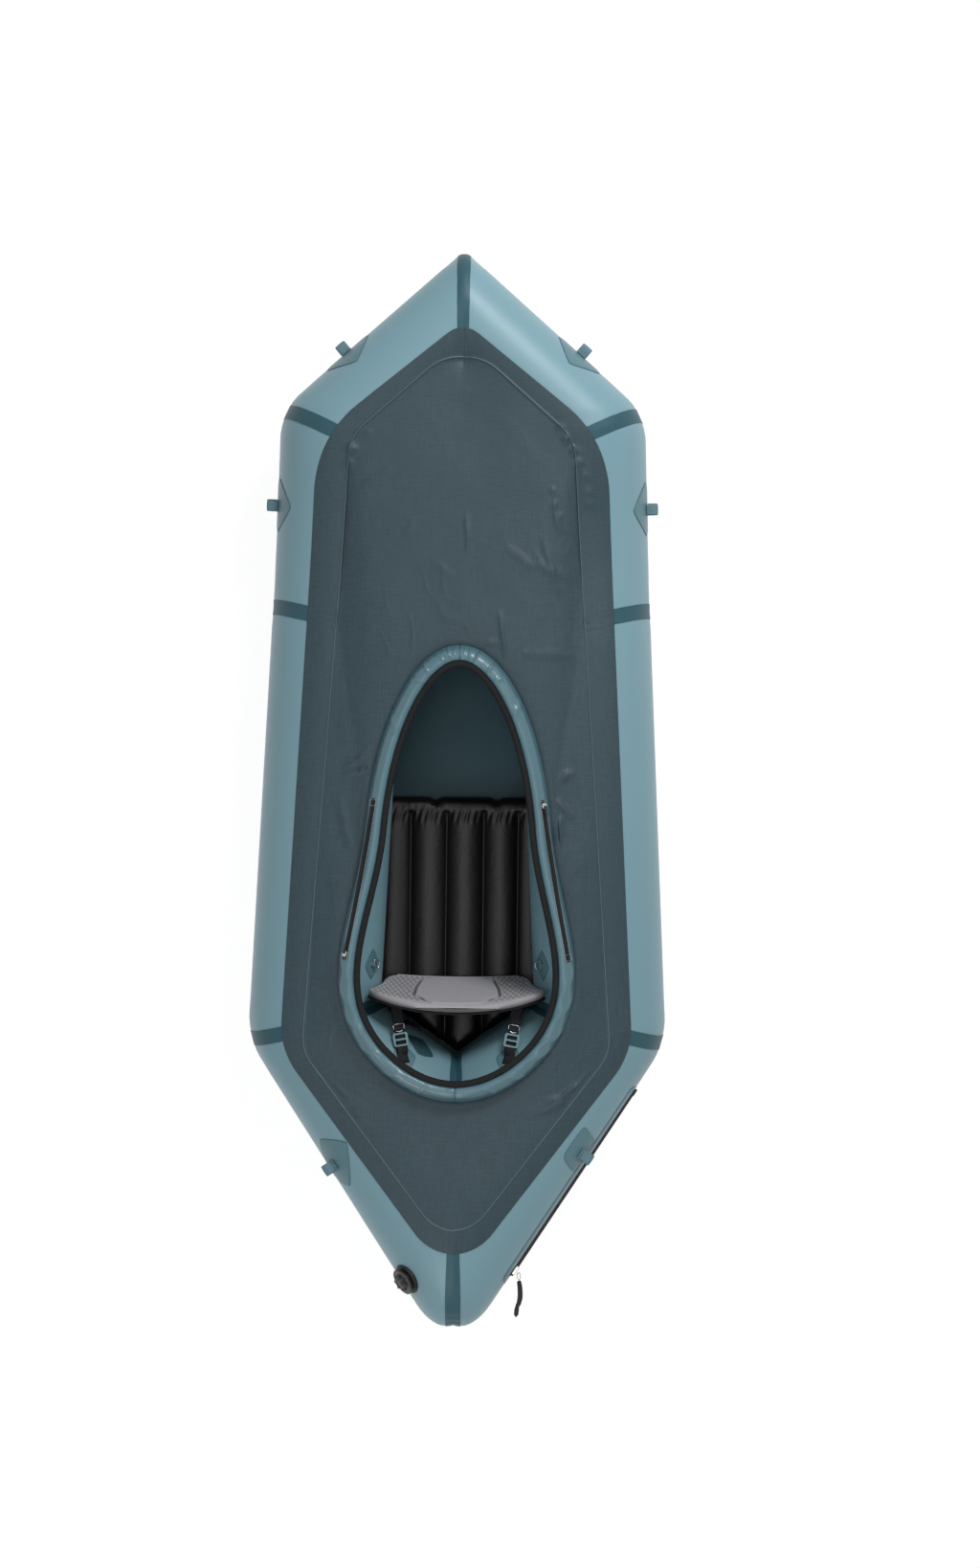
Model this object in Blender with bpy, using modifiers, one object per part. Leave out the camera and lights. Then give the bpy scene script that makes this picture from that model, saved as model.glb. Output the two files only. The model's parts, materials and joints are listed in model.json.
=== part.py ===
# A packraft with a spray deck: a ring of inflated tubes with pointed ends,
# a floor sheet, a deck with a sleeved coaming, a seat mat and a backrest.
# Metres. +Z is up, +Y points to the bow, and the hull rests on z = 0.

import math

import bmesh
import bpy
from mathutils import Matrix, Vector

# Driving dimensions
LENGTH = 2.36
BEAM = 0.934
TUBE_DIAMETER = 0.296
BOW_DIAMETER = 0.276
STERN_HEIGHT = 0.316
HALF_LENGTH = LENGTH / 2
HALF_BEAM = BEAM / 2

# Hull outline, in plan
SHOULDER_SHARES = (0.871, 0.7145)
REAR_CORNER_SHARES = (1.013, -0.479)
WELL_END_SHARE = -0.508
SIDE_SEAM_SHARE = 0.308
BOW_NOSE_RADIUS = 0.022
SHOULDER_RADIUS = 0.14
REAR_CORNER_RADIUS = 0.18
STERN_NOSE_RADIUS = 0.1014

# Rocker: the bottom lifts towards both ends
ROCKER_START_SHARE = 0.381
ROCKER_BLEND_SHARE = 0.169
BOW_RISE = 0.15
STERN_RISE = 0.10

# Fabric and clearances
HULL_WALL = 0.0015
FLOOR_SHEET = 0.002
DECK_SHEET = 0.0015
PATCH_SHEET = 0.0008
GAP = 0.0003
SKIN_GAP = 0.0006
TUBE_SIDES = 20

# Deck edge, from the outer hull line to the inner one, along the hull
DECK_EDGE_SHARES = {
    "bow": [(0, 0.535), (0.3, 0.46), (0.6, 0.43), (1, 0.45)],
    "side": [(0, 0.45), (0.05, 0.40), (0.14, 0.31), (0.308, 0.29), (0.7, 0.26), (1, 0.288)],
    "stern": [(0, 0.288), (0.2, 0.24), (0.6, 0.27), (0.85, 0.32), (1, 0.397)],
}
STATION_SHARES = {
    "bow": [0, 0.04, 0.12, 0.24, 0.38, 0.54, 0.7, 0.84, 0.93, 1],
    "side": [0, 0.042, 0.12, 0.2, 0.308, 0.42, 0.54, 0.66, 0.78, 0.88, 0.958, 1],
    "stern": [0, 0.072, 0.16, 0.28, 0.42, 0.56, 0.7, 0.82, 0.91, 1],
}
DECK_LEAVE_ANGLE = math.radians(90)
DECK_LEAVE_STEP = math.radians(8)

# Coaming
COAMING_CENTRE_SHARE = -0.1523
COAMING_HALF_LENGTH = 0.498
COAMING_FRONT_WIDTH = 0.2085
COAMING_REAR_WIDTH = 0.329
COAMING_BASE = 0.315
COAMING_END_LIFT = 0.02
SLEEVE_WIDTH = 0.037
SLEEVE_HEIGHT = 0.0435
SLEEVE_WALL = 0.0015
ROD_DIAMETER = 0.012
BINDING_WIDTH = 0.0127
BINDING_HEIGHT = 0.010

# Seat mat
MAT_FRONT_SHARE = -0.0115
MAT_REAR_SHARE = -0.5125
MAT_HEIGHT = 0.067
MAT_VALLEY = 0.048
MAT_TUCK = 0.036
MAT_CHANNELS = 5
MAT_FRONT_SCALLOP = 0.012
MAT_REAR_SLOPE_SHARE = 0.70

# Backrest
BACKREST_REACH = 0.1555
BACKREST_SIDE_TUCK = 0.0268
BACKREST_HEIGHT = 0.225
BACKREST_LEAN = math.radians(10)
BACKREST_THICKNESS = 0.017
BACKREST_WRAP = 0.020
BACKING_THICKNESS = 0.004
BACKREST_FOOT_RADIUS = 0.009

# Webbing, rings and buckles
WEBBING_WIDTH = 0.025
WEBBING_THICKNESS = 0.0016
LOOP_REACH = 0.024
LOOP_HALF_HEIGHT = 0.011
RING_WIRE = 0.0032
RING_REACH = 0.018
THIGH_RING_WIDTH = 0.020
LOCK_LENGTH = 0.030
LOCK_THICKNESS = 0.004
LOCK_BAR = 0.004

# Cargo zip
ZIP_FRONT_SHARE = 0.165
ZIP_REAR_SHARE = 0.735
ZIP_FACET_SHARE = 0.45
ZIP_TAPE_BELOW = 0.020
ZIP_TAPE_ABOVE = 0.047
ZIP_TAPE_SHEET = 0.001
CHAIN_WIDTH = 0.010
CHAIN_HEIGHT = 0.0042
TOOTH_PITCH = 0.0075
TOOTH_DEPTH = 0.0011
STOP_LENGTH = 0.016
STOP_HEIGHT_SHARE = 1.2
SLIDER_LENGTH = 0.020
SLIDER_WIDTH = 0.015
SLIDER_WALL = 0.0022
PULL_LENGTH = 0.072
PULL_DIAMETER = 0.0085
PULL_DROOP = 0.020
WIRE_DIAMETER = 0.0024

# Coaming zips
SLEEVE_ZIP_FRONT_SHARE = 0.3277
SLEEVE_ZIP_REAR_SHARE = -0.3760
SLEEVE_ZIP_MIDDLE_SHARE = 0.6
SLEEVE_ZIP_LIFT = 0.0016
SLEEVE_ZIP_STEPS = 8
SLEEVE_ZIP_WIDTH = 0.009
SLEEVE_ZIP_HEIGHT = 0.0016
SMALL_SLIDER_LENGTH = 0.012
SMALL_SLIDER_WIDTH = 0.0125
SMALL_SLIDER_HEIGHT = 0.003
SMALL_PULL_LENGTH = 0.024
SMALL_PULL_WIDTH = 0.006
SMALL_PULL_THICKNESS = 0.002

# Valve
VALVE_SHARES = (0.217, -0.908)
FLANGE_DIAMETER = 0.070
FLANGE_THICKNESS = 0.003
FLANGE_SKIRT = 0.008
BARREL_DIAMETER = 0.047
BARREL_DEPTH = 0.024
VALVE_BORE = 0.041
VALVE_RIM_HEIGHT = 0.008
VALVE_RIM_WALL = 0.0035
BODY_WALL = 0.0032
BODY_WEB = 0.003
STEM_DIAMETER = 0.007
PLUNGER_HEAD = 0.026
PLUNGER_HEAD_THICKNESS = 0.003
PLUNGER_TRAVEL = 0.004
SEAL_DEPTH = 0.0016
CAP_DIAMETER = 0.060
CAP_RIM_HEIGHT = 0.005
CAP_GRIP_RADIUS = 0.0185
CAP_GRIP_HEIGHT = 0.009
CAP_LOBES = 6
CAP_LOBE_DEPTH = 0.0028
SPRING_WIRE = 0.0011
SPRING_TURNS = 3
HOLE_CLEARANCE = 0.0012

# Places of the small fittings
# Each tie-down: its run, side, share along the run, and the angles of loop and patch
TIE_DOWN_PLACES = {
    1: ("bow", -1, 0.640, 9, 20),
    2: ("bow", 1, 0.640, 9, 20),
    3: ("side", -1, 0.147, 9, 16),
    4: ("side", 1, 0.147, 9, 16),
    5: ("stern", -1, 0.410, 27, 34),
    6: ("stern", 1, 0.372, 31.5, 39.5),
}
PATCH_LIFT = 0.0009
ANCHOR_LIFT = 0.0018
TIE_PATCH_HALF_LENGTH = 0.060
TIE_PATCH_HALF_GIRTH = 0.066
OBLONG_HALF_LENGTH = 0.042
OBLONG_HALF_GIRTH = 0.032
THIGH_SHARES = (0.406, -0.329)
THIGH_PATCH_HALF_LENGTH = 0.032
THIGH_PATCH_HALF_GIRTH = 0.022
ANCHOR_RUN_SHARE = 0.4699
ANCHOR_ANGLE = math.radians(133.13)
ANCHOR_PATCH_HALF_LENGTH = 0.026
ANCHOR_PATCH_HALF_GIRTH = 0.024
STRAP_SPLAY = 0.0186
STRAP_HEIGHT_SHARE = 0.80
OVERRUN = 0.01

RUNS = ("bow", "side", "stern")
FLOOR_LIFT = 2 * SKIN_GAP
FLOOR_TOP = FLOOR_SHEET + FLOOR_LIFT


# Scene, collections and materials

def clear_scene():
    for item in list(bpy.data.objects):
        bpy.data.objects.remove(item, do_unlink=True)


def new_collection(name):
    collection = bpy.data.collections.new(name)
    bpy.context.scene.collection.children.link(collection)
    return collection


def new_material(name, colour, roughness, metallic=0.0):
    material = bpy.data.materials.new(name)
    material.use_nodes = True
    shader = material.node_tree.nodes["Principled BSDF"]
    shader.inputs["Base Color"].default_value = (*colour, 1)
    shader.inputs["Roughness"].default_value = roughness
    shader.inputs["Metallic"].default_value = metallic
    material.diffuse_color = (*colour, 1)
    return material


clear_scene()
PARTS = new_collection("packraft")
CUTTERS = new_collection("cutters")

MATERIALS = {
    "hull_fabric": new_material("hull_fabric", (0.150, 0.262, 0.305), 0.48),
    "floor_fabric": new_material("floor_fabric", (0.030, 0.050, 0.057), 0.62),
    "deck_fabric": new_material("deck_fabric", (0.052, 0.091, 0.110), 0.60),
    "sleeve_fabric": new_material("sleeve_fabric", (0.105, 0.190, 0.225), 0.50),
    "black_fabric": new_material("black_fabric", (0.016, 0.018, 0.020), 0.75),
    "mat_fabric": new_material("mat_fabric", (0.024, 0.023, 0.023), 0.70),
    "grey_foam": new_material("grey_foam", (0.240, 0.233, 0.252), 0.85),
    "webbing": new_material("webbing", (0.110, 0.200, 0.230), 0.70),
    "teal_plastic": new_material("teal_plastic", (0.210, 0.330, 0.350), 0.42),
    "black_plastic": new_material("black_plastic", (0.018, 0.018, 0.019), 0.40),
    "rubber": new_material("rubber", (0.014, 0.014, 0.015), 0.60),
    "metal": new_material("metal", (0.620, 0.630, 0.640), 0.28, 1.0),
}


# Meshes and objects

def add_object(name, data, material, collection=PARTS):
    item = bpy.data.objects.new(name, data)
    collection.objects.link(item)
    if not data.materials:
        data.materials.append(MATERIALS[material])
    return item


def mesh_object(name, points, faces, material, collection=PARTS, smooth=True):
    mesh = bpy.data.meshes.new(name)
    mesh.from_pydata([tuple(p) for p in points], [], faces)
    built = bmesh.new()
    built.from_mesh(mesh)
    bmesh.ops.remove_doubles(built, verts=built.verts, dist=GAP / 100)
    bmesh.ops.recalc_face_normals(built, faces=built.faces)
    built.to_mesh(mesh)
    built.free()
    if smooth:
        mesh.shade_smooth()
        mesh.set_sharp_from_angle(angle=math.radians(40))
    return add_object(name, mesh, material, collection)


def grid_faces(rows, columns, closed_rows=False, closed_columns=False):
    """Quads over a grid whose points are numbered row by row."""
    faces = []
    for i in range(rows if closed_rows else rows - 1):
        for j in range(columns if closed_columns else columns - 1):
            k = (i + 1) % rows
            m = (j + 1) % columns
            faces.append((i * columns + j, i * columns + m, k * columns + m, k * columns + j))
    return faces


def sheet_object(name, rows, thickness, material, closed=False):
    """A grid of points, thickened to the side that its normals face."""
    points = [p for row in rows for p in row]
    faces = grid_faces(len(rows), len(rows[0]), closed_rows=closed)
    mesh = bpy.data.meshes.new(name)
    mesh.from_pydata([tuple(p) for p in points], [], faces)
    built = bmesh.new()
    built.from_mesh(mesh)
    bmesh.ops.remove_doubles(built, verts=built.verts, dist=GAP / 100)
    built.to_mesh(mesh)
    built.free()
    mesh.shade_smooth()
    item = add_object(name, mesh, material)
    solidify = item.modifiers.new("thickness", "SOLIDIFY")
    solidify.thickness = thickness
    solidify.offset = 1
    return item


def ring_loft(name, rings, material, closed=False, cap=True):
    """Closed sections joined one after another: a solid bar, or a closed ring of it."""
    count = len(rings[0])
    points = [p for ring in rings for p in ring]
    faces = grid_faces(len(rings), count, closed_rows=closed, closed_columns=True)
    if cap and not closed:
        faces.append(tuple(range(count)))
        faces.append(tuple((len(rings) - 1) * count + i for i in range(count)))
    return mesh_object(name, points, faces, material)


def spline_points(curve, points, cyclic):
    spline = curve.splines.new("POLY")
    spline.points.add(len(points) - 1)
    for target, point in zip(spline.points, points):
        target.co = (*point, 1) if len(point) == 3 else (*point, 0, 1)
    spline.use_cyclic_u = cyclic


def tube_object(name, points, diameter, material, sides_level=2, cyclic=False):
    """A round bar or wire along the points."""
    curve = bpy.data.curves.new(name, "CURVE")
    curve.dimensions = "3D"
    curve.bevel_depth = diameter / 2
    curve.bevel_resolution = sides_level
    curve.use_fill_caps = not cyclic
    spline_points(curve, points, cyclic)
    return add_object(name, curve, material)


def plate_object(name, outlines, thickness, place, material):
    """A flat outline, with its holes, as thick as said and centred on its plane."""
    curve = bpy.data.curves.new(name, "CURVE")
    curve.dimensions = "2D"
    curve.fill_mode = "BOTH"
    curve.extrude = thickness / 2
    for outline in outlines:
        spline_points(curve, outline, True)
    item = add_object(name, curve, material)
    item.matrix_world = place
    return item


def turned_object(name, profile, place, material, steps=32):
    """A closed profile of (radius, height) points turned about the local Z axis."""
    mesh = bpy.data.meshes.new(name)
    count = len(profile)
    mesh.from_pydata(
        [(r, 0, z) for r, z in profile], [(i, (i + 1) % count) for i in range(count)], []
    )
    item = add_object(name, mesh, material)
    screw = item.modifiers.new("turn", "SCREW")
    screw.steps = steps
    screw.render_steps = steps
    screw.use_merge_vertices = True
    screw.merge_threshold = GAP / 10
    item.matrix_world = place
    return item


def as_mesh(item):
    """The evaluated shape as a plain welded mesh in world space."""
    bpy.context.view_layer.update()
    graph = bpy.context.evaluated_depsgraph_get()
    mesh = bpy.data.meshes.new_from_object(item.evaluated_get(graph))
    mesh.transform(item.matrix_world)
    built = bmesh.new()
    built.from_mesh(mesh)
    bmesh.ops.remove_doubles(built, verts=built.verts, dist=GAP / 100)
    bmesh.ops.recalc_face_normals(built, faces=built.faces)
    built.to_mesh(mesh)
    built.free()
    name = item.name
    collection = item.users_collection[0]
    bpy.data.objects.remove(item, do_unlink=True)
    made = bpy.data.objects.new(name, mesh)
    collection.objects.link(made)
    return made


def boolean(item, other, operation):
    modifier = item.modifiers.new(operation.lower(), "BOOLEAN")
    modifier.operation = operation
    modifier.solver = "EXACT"
    modifier.object = other
    other.hide_render = True
    other.display_type = "WIRE"
    if other.name not in CUTTERS.objects:
        CUTTERS.objects.link(other)
    if other.name in PARTS.objects:
        PARTS.objects.unlink(other)


def arc(centre, radius, start, end, steps):
    """Points on a flat arc, both ends included."""
    turn = (end - start) / steps
    return [
        (centre[0] + radius * math.cos(start + turn * i), centre[1] + radius * math.sin(start + turn * i))
        for i in range(steps + 1)
    ]


def rounded_box(width, height, radius, steps=2):
    x, y = width / 2 - radius, height / 2 - radius
    quarter = math.pi / 2
    points = []
    for k, (cx, cy) in enumerate(((x, y), (-x, y), (-x, -y), (x, -y))):
        points += arc((cx, cy), radius, quarter * k, quarter * (k + 1), steps)
    return points


def frame_matrix(origin, x, y, z):
    return Matrix((
        (x.x, y.x, z.x, origin.x),
        (x.y, y.y, z.y, origin.y),
        (x.z, y.z, z.z, origin.z),
        (0, 0, 0, 1),
    ))


def mirrored(point):
    return Vector((-point.x, point.y, point.z))


# Hull geometry: the right half, in plan corners joined by straight lines

def flat(x, y):
    return Vector((x, y))


def normal_of(start, end):
    """Outward unit normal of a line that runs from the bow to the stern on the right."""
    along = (end - start).normalized()
    return Vector((-along.y, along.x)) * (1 if -along.y > 0 else -1)


def nose_apex(corner, tip_y, radius):
    """Where a straight hull side would meet the centre line, if its rounded tip is at tip_y."""
    sign = 1 if tip_y > 0 else -1
    apex = tip_y
    for _ in range(8):
        side = flat(corner.x, abs(apex - corner.y)).normalized()
        apex = tip_y + sign * radius * (1 / side.x - 1)
    return flat(0, apex)


SHOULDER = flat(SHOULDER_SHARES[0] * HALF_BEAM, SHOULDER_SHARES[1] * HALF_LENGTH)
REAR_CORNER = flat(REAR_CORNER_SHARES[0] * HALF_BEAM, REAR_CORNER_SHARES[1] * HALF_LENGTH)
BOW_APEX = nose_apex(SHOULDER, HALF_LENGTH, BOW_NOSE_RADIUS)
STERN_APEX = nose_apex(REAR_CORNER, -HALF_LENGTH, STERN_NOSE_RADIUS)
OUTER = [BOW_APEX, SHOULDER, REAR_CORNER, STERN_APEX]
NORMALS = [normal_of(OUTER[i], OUTER[i + 1]) for i in range(3)]
MITRES = [
    flat(0, 1),
    (NORMALS[0] + NORMALS[1]).normalized(),
    (NORMALS[1] + NORMALS[2]).normalized(),
    flat(0, -1),
]
HALF_TURNS = [
    math.acos(NORMALS[max(i - 1, 0)].dot(MITRES[i])) for i in range(4)
]
HALF_TURNS[0] = math.acos(NORMALS[0].dot(MITRES[0]))
NOSE_RADII = [BOW_NOSE_RADIUS, SHOULDER_RADIUS, REAR_CORNER_RADIUS, STERN_NOSE_RADIUS]
INNER = [
    BOW_APEX - MITRES[0] * BOW_DIAMETER / math.cos(HALF_TURNS[0]),
    SHOULDER - MITRES[1] * TUBE_DIAMETER / math.cos(HALF_TURNS[1]),
    REAR_CORNER - MITRES[2] * TUBE_DIAMETER / math.cos(HALF_TURNS[2]),
    flat(0, WELL_END_SHARE * HALF_LENGTH),
]
HEIGHTS = [BOW_DIAMETER / 2, TUBE_DIAMETER / 2, TUBE_DIAMETER / 2, STERN_HEIGHT / 2]


def rise(y):
    """Height of the hull's bottom above the ground: flat, then a short curve, then a ramp."""
    start = ROCKER_START_SHARE * HALF_LENGTH
    blend = ROCKER_BLEND_SHARE * HALF_LENGTH
    past = max(abs(y) - start, 0)
    full = HALF_LENGTH - start
    top = BOW_RISE if y > 0 else STERN_RISE
    steep = top / (blend * blend + 2 * blend * (full - blend))
    if past < blend:
        return steep * past * past
    return steep * (blend * blend + 2 * blend * (past - blend))


def section(run, t):
    """Plan centre, outward direction, outer and inner half widths and half height."""
    i = RUNS.index(run)
    outer = OUTER[i].lerp(OUTER[i + 1], t)
    inner = INNER[i].lerp(INNER[i + 1], t)
    centre = (outer + inner) / 2
    outward = (outer - inner).normalized()
    half = (outer - inner).length / 2
    length = (OUTER[i + 1] - OUTER[i]).length
    pulled = 0.0
    for corner, distance in ((i, t * length), (i + 1, (1 - t) * length)):
        reach = NOSE_RADII[corner] * math.tan(HALF_TURNS[corner])
        depth = NOSE_RADII[corner] * (1 / math.cos(HALF_TURNS[corner]) - 1)
        if distance < reach:
            pulled += depth * (1 - distance / reach) ** 2
    height = HEIGHTS[i] + (HEIGHTS[i + 1] - HEIGHTS[i]) * t
    return centre, outward, half - pulled, half, height


def hull_point(run, t, angle, lift=0.0):
    """A point round the tube: 0 is the outer side, 90 degrees the crown, 180 the inner side."""
    centre, outward, wide_out, wide_in, height = section(run, t)
    grown = 1 + lift / height
    wide = wide_out if math.cos(angle) > 0 else wide_in
    plan = centre + outward * (wide * grown * math.cos(angle))
    z = FLOOR_TOP + rise(plan.y) + height + height * grown * math.sin(angle)
    return Vector((plan.x, plan.y, z))


def skin(run, t, angle, lift=0.0):
    """The same on the faceted tube, between its stations and sides."""
    stations = STATION_SHARES[run]
    k = max(i for i in range(len(stations) - 1) if stations[i] <= t + 1e-9)
    share = (t - stations[k]) / (stations[k + 1] - stations[k])
    step = 2 * math.pi / TUBE_SIDES
    j = math.floor(angle / step + 1e-9)
    turn = angle / step - j
    found = []
    for station in (stations[k], stations[k + 1]):
        a = hull_point(run, station, j * step, lift)
        b = hull_point(run, station, (j + 1) * step, lift)
        found.append(a.lerp(b, turn))
    return found[0].lerp(found[1], share)


def skin_frame(run, t, angle, lift=0.0):
    """Origin on the skin, unit vectors along the tube, round it and out of it."""
    small = 0.002
    origin = skin(run, t, angle, lift)
    along = (skin(run, t + small, angle) - skin(run, t - small, angle)).normalized()
    girth = (skin(run, t, angle + small) - skin(run, t, angle - small)).normalized()
    out = girth.cross(along).normalized()
    centre, outward, *_ = section(run, t)
    middle = Vector((centre.x, centre.y, hull_point(run, t, 0).z))
    if out.dot(origin - middle) < 0:
        out = -out
    girth = out.cross(along).normalized()
    return origin, along, girth, out


def locate(run, x, y):
    """The share along a run and the angle on its upper side over a plan point."""
    i = RUNS.index(run)
    low, high = 0.0, 1.0

    def offset(t):
        outer = OUTER[i].lerp(OUTER[i + 1], t)
        inner = INNER[i].lerp(INNER[i + 1], t)
        side = outer - inner
        to_point = flat(x, y) - inner
        return side.x * to_point.y - side.y * to_point.x

    sign = 1 if offset(low) > 0 else -1
    for _ in range(40):
        middle = (low + high) / 2
        if offset(middle) * sign > 0:
            low = middle
        else:
            high = middle
    centre, outward, wide_out, wide_in, _ = section(run, low)
    across = (flat(x, y) - centre).dot(outward)
    wide = wide_out if across > 0 else wide_in
    return low, math.acos(max(-1.0, min(1.0, across / wide)))


# Hull tube: eight welded panels

def end_shift(run, t, corner):
    """Half the seam gap, square to the mitre plane and into the panel."""
    i = RUNS.index(run)
    mitre = MITRES[corner] if t in (0, 1) else NORMALS[1]
    square = Vector((mitre.y, -mitre.x, 0))
    middle = (OUTER[i] + OUTER[i + 1]) / 2
    here = OUTER[i].lerp(OUTER[i + 1], t)
    if square.xy.dot(middle - here) < 0:
        square = -square
    return square * GAP / 2


def tube_panel(name, run, first, last, side):
    stations = [t for t in STATION_SHARES[run] if first <= t <= last]
    i = RUNS.index(run)
    step = 2 * math.pi / TUBE_SIDES
    outer_rings, inner_rings = [], []
    for t in stations:
        shift = Vector((0, 0, 0))
        if t in (first, last):
            shift = end_shift(run, t, i if t == 0 else i + 1)
            if 0 < t < 1:
                towards = hull_point(run, (first + last) / 2, 0) - hull_point(run, t, 0)
                if shift.dot(towards) < 0:
                    shift = -shift
        for rings, lift in ((outer_rings, 0.0), (inner_rings, -HULL_WALL)):
            ring = [hull_point(run, t, k * step, lift) + shift for k in range(TUBE_SIDES)]
            rings.append([Vector((p.x * side, p.y, p.z)) for p in ring])
    rings = outer_rings + inner_rings[::-1]
    points = [p for ring in rings for p in ring]
    faces = grid_faces(len(rings), TUBE_SIDES, closed_rows=True, closed_columns=True)
    return mesh_object(name, points, faces, "hull_fabric")


PANELS = {
    "bow_tube": ("bow", 0, 1),
    "side_tube_front": ("side", 0, SIDE_SEAM_SHARE),
    "side_tube_rear": ("side", SIDE_SEAM_SHARE, 1),
    "stern_tube": ("stern", 0, 1),
}


def build_tubes():
    for label, (run, first, last) in PANELS.items():
        for hand, side in (("right", 1), ("left", -1)):
            tube_panel(f"{label}_{hand}", run, first, last, side)


def all_stations():
    """Every station from the bow seam to the stern seam, corners once."""
    found = [("bow", t) for t in STATION_SHARES["bow"]]
    found += [("side", t) for t in STATION_SHARES["side"][1:]]
    found += [("stern", t) for t in STATION_SHARES["stern"][1:]]
    return found


# Hull floor: the bottom sheet, up to a line on the outer side of the tubes

FLOOR_SPANS = 3
FLOOR_EDGE_SIDE = -4


def build_floor():
    step = 2 * math.pi / TUBE_SIDES
    rows = []
    for run, t in all_stations():
        edge = hull_point(run, t, FLOOR_EDGE_SIDE * step, FLOOR_LIFT)
        under = hull_point(run, t, -math.pi / 2, FLOOR_LIFT)
        half = [edge, under]
        for k in range(1, FLOOR_SPANS):
            half.append(Vector((under.x * (1 - k / FLOOR_SPANS), under.y, under.z)))
        middle = Vector((0, under.y, under.z))
        row = [mirrored(p) for p in half] + [middle] + half[::-1]
        rows.append(row)
    sheet_object("hull_floor", rows, FLOOR_SHEET, "floor_fabric")


# Coaming ring: an egg-shaped outline, its outward normal and its height

def smooth(share):
    share = max(0.0, min(1.0, share))
    return share * share * (3 - 2 * share)


COAMING_CENTRE = COAMING_CENTRE_SHARE * HALF_LENGTH
COAMING_TAPER_SHARES = (0.85, 1.05)


def coaming_edge(turn):
    """Outer edge in plan: turn 0 is the front, pi the rear."""
    c, s = math.cos(turn), math.sin(turn)
    narrowing = smooth((c + COAMING_TAPER_SHARES[0]) / COAMING_TAPER_SHARES[1])
    wide = COAMING_REAR_WIDTH - (COAMING_REAR_WIDTH - COAMING_FRONT_WIDTH) * narrowing
    return flat(wide * s, COAMING_CENTRE + COAMING_HALF_LENGTH * c)


def coaming_point(turn, inset, height):
    """A point at an inset from the outer edge and a height above the deck there."""
    small = 0.001
    edge = coaming_edge(turn)
    along = (coaming_edge(turn + small) - coaming_edge(turn - small)).normalized()
    out = flat(-along.y, along.x)
    if out.dot(edge - flat(0, COAMING_CENTRE)) < 0:
        out = -out
    plan = edge - out * inset
    share = (edge.y - COAMING_CENTRE) / COAMING_HALF_LENGTH
    z = COAMING_BASE + COAMING_END_LIFT * share * share + height
    return Vector((plan.x, plan.y, z))


def coaming_turns():
    """A turn for each hull station, matched by length along the tube and along the ring."""
    crown = [hull_point(run, t, math.pi / 2) for run, t in all_stations()]
    lengths = [0.0]
    for a, b in zip(crown, crown[1:]):
        lengths.append(lengths[-1] + (b - a).xy.length)
    fine = 400
    ring = [0.0]
    for k in range(fine):
        a = coaming_edge(math.pi * k / fine)
        b = coaming_edge(math.pi * (k + 1) / fine)
        ring.append(ring[-1] + (b - a).length)
    turns = []
    for length in lengths:
        wanted = length / lengths[-1] * ring[-1]
        k = max(i for i in range(fine) if ring[i] <= wanted + 1e-9)
        share = (wanted - ring[k]) / (ring[k + 1] - ring[k])
        turns.append(math.pi * (k + min(share, 1)) / fine)
    turns[-1] = math.pi
    return turns


def full_ring(half):
    """A half ring of rows, bow to stern on the right, closed round the left."""
    return half + [[mirrored(p) for p in row] for row in half[-2:0:-1]]


# Spray deck: lies over the tubes' crowns and spans to the coaming

DECK_SPAN_SHARES = [0.2, 0.45, 0.72]
DECK_TUBE_ROWS = 3
DECK_OUTER_LEDGE = 0.012
DECK_SAG_SHARE = 0.015


def deck_edge_angle(run, t):
    keys = DECK_EDGE_SHARES[run]
    k = max(i for i in range(len(keys) - 1) if keys[i][0] <= t + 1e-9)
    (t0, a), (t1, b) = keys[k], keys[k + 1]
    share = a + (b - a) * (t - t0) / (t1 - t0)
    return math.acos(1 - 2 * share)


def build_deck(turns):
    rows = []
    for (run, t), turn in zip(all_stations(), turns):
        start = deck_edge_angle(run, t)
        leave = max(DECK_LEAVE_ANGLE, start + DECK_LEAVE_STEP)
        height = section(run, t)[4]
        bulge = height * (1 - math.cos((leave - start) / DECK_TUBE_ROWS / 2))
        row = []
        for k in range(DECK_TUBE_ROWS + 1):
            angle = start + (leave - start) * k / DECK_TUBE_ROWS
            row.append(hull_point(run, t, angle, SKIN_GAP + bulge))
        last = row[-1]
        rim = coaming_point(turn, -DECK_OUTER_LEDGE, -DECK_SHEET)
        for share in DECK_SPAN_SHARES:
            point = last.lerp(rim, share)
            span = (rim - last).length
            point.z -= DECK_SAG_SHARE * span * math.sin(math.pi * share)
            row.append(point)
        row.append(rim)
        row.append(coaming_point(turn, SLEEVE_WIDTH + GAP, -DECK_SHEET))
        rows.append(row)
    sheet_object("spray_deck", full_ring(rows), DECK_SHEET, "deck_fabric", closed=True)


# Coaming sleeve, its rod and the binding

SLEEVE_SHARES = [
    (0.0, 0.0),
    (0.02, 0.16),
    (0.09, 0.48),
    (0.25, 0.79),
    (0.52, 0.98),
    (0.78, 1.0),
    (0.95, 0.90),
    (1.0, 0.70),
    (1.0, 0.0),
]


def sleeve_point(turn, index_share, lift=0.0):
    """A point on the sleeve's section: whole numbers are its corners."""
    k = min(int(index_share), len(SLEEVE_SHARES) - 2)
    share = index_share - k
    (a, b), (c, d) = SLEEVE_SHARES[k], SLEEVE_SHARES[k + 1]
    inset_a, high_a = a * SLEEVE_WIDTH, b * SLEEVE_HEIGHT
    inset_b, high_b = c * SLEEVE_WIDTH, d * SLEEVE_HEIGHT
    across = flat(inset_b - inset_a, high_b - high_a).normalized()
    inset = inset_a + (inset_b - inset_a) * share - across.y * lift
    high = high_a + (high_b - high_a) * share + across.x * lift
    return coaming_point(turn, inset, high + GAP)


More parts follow.
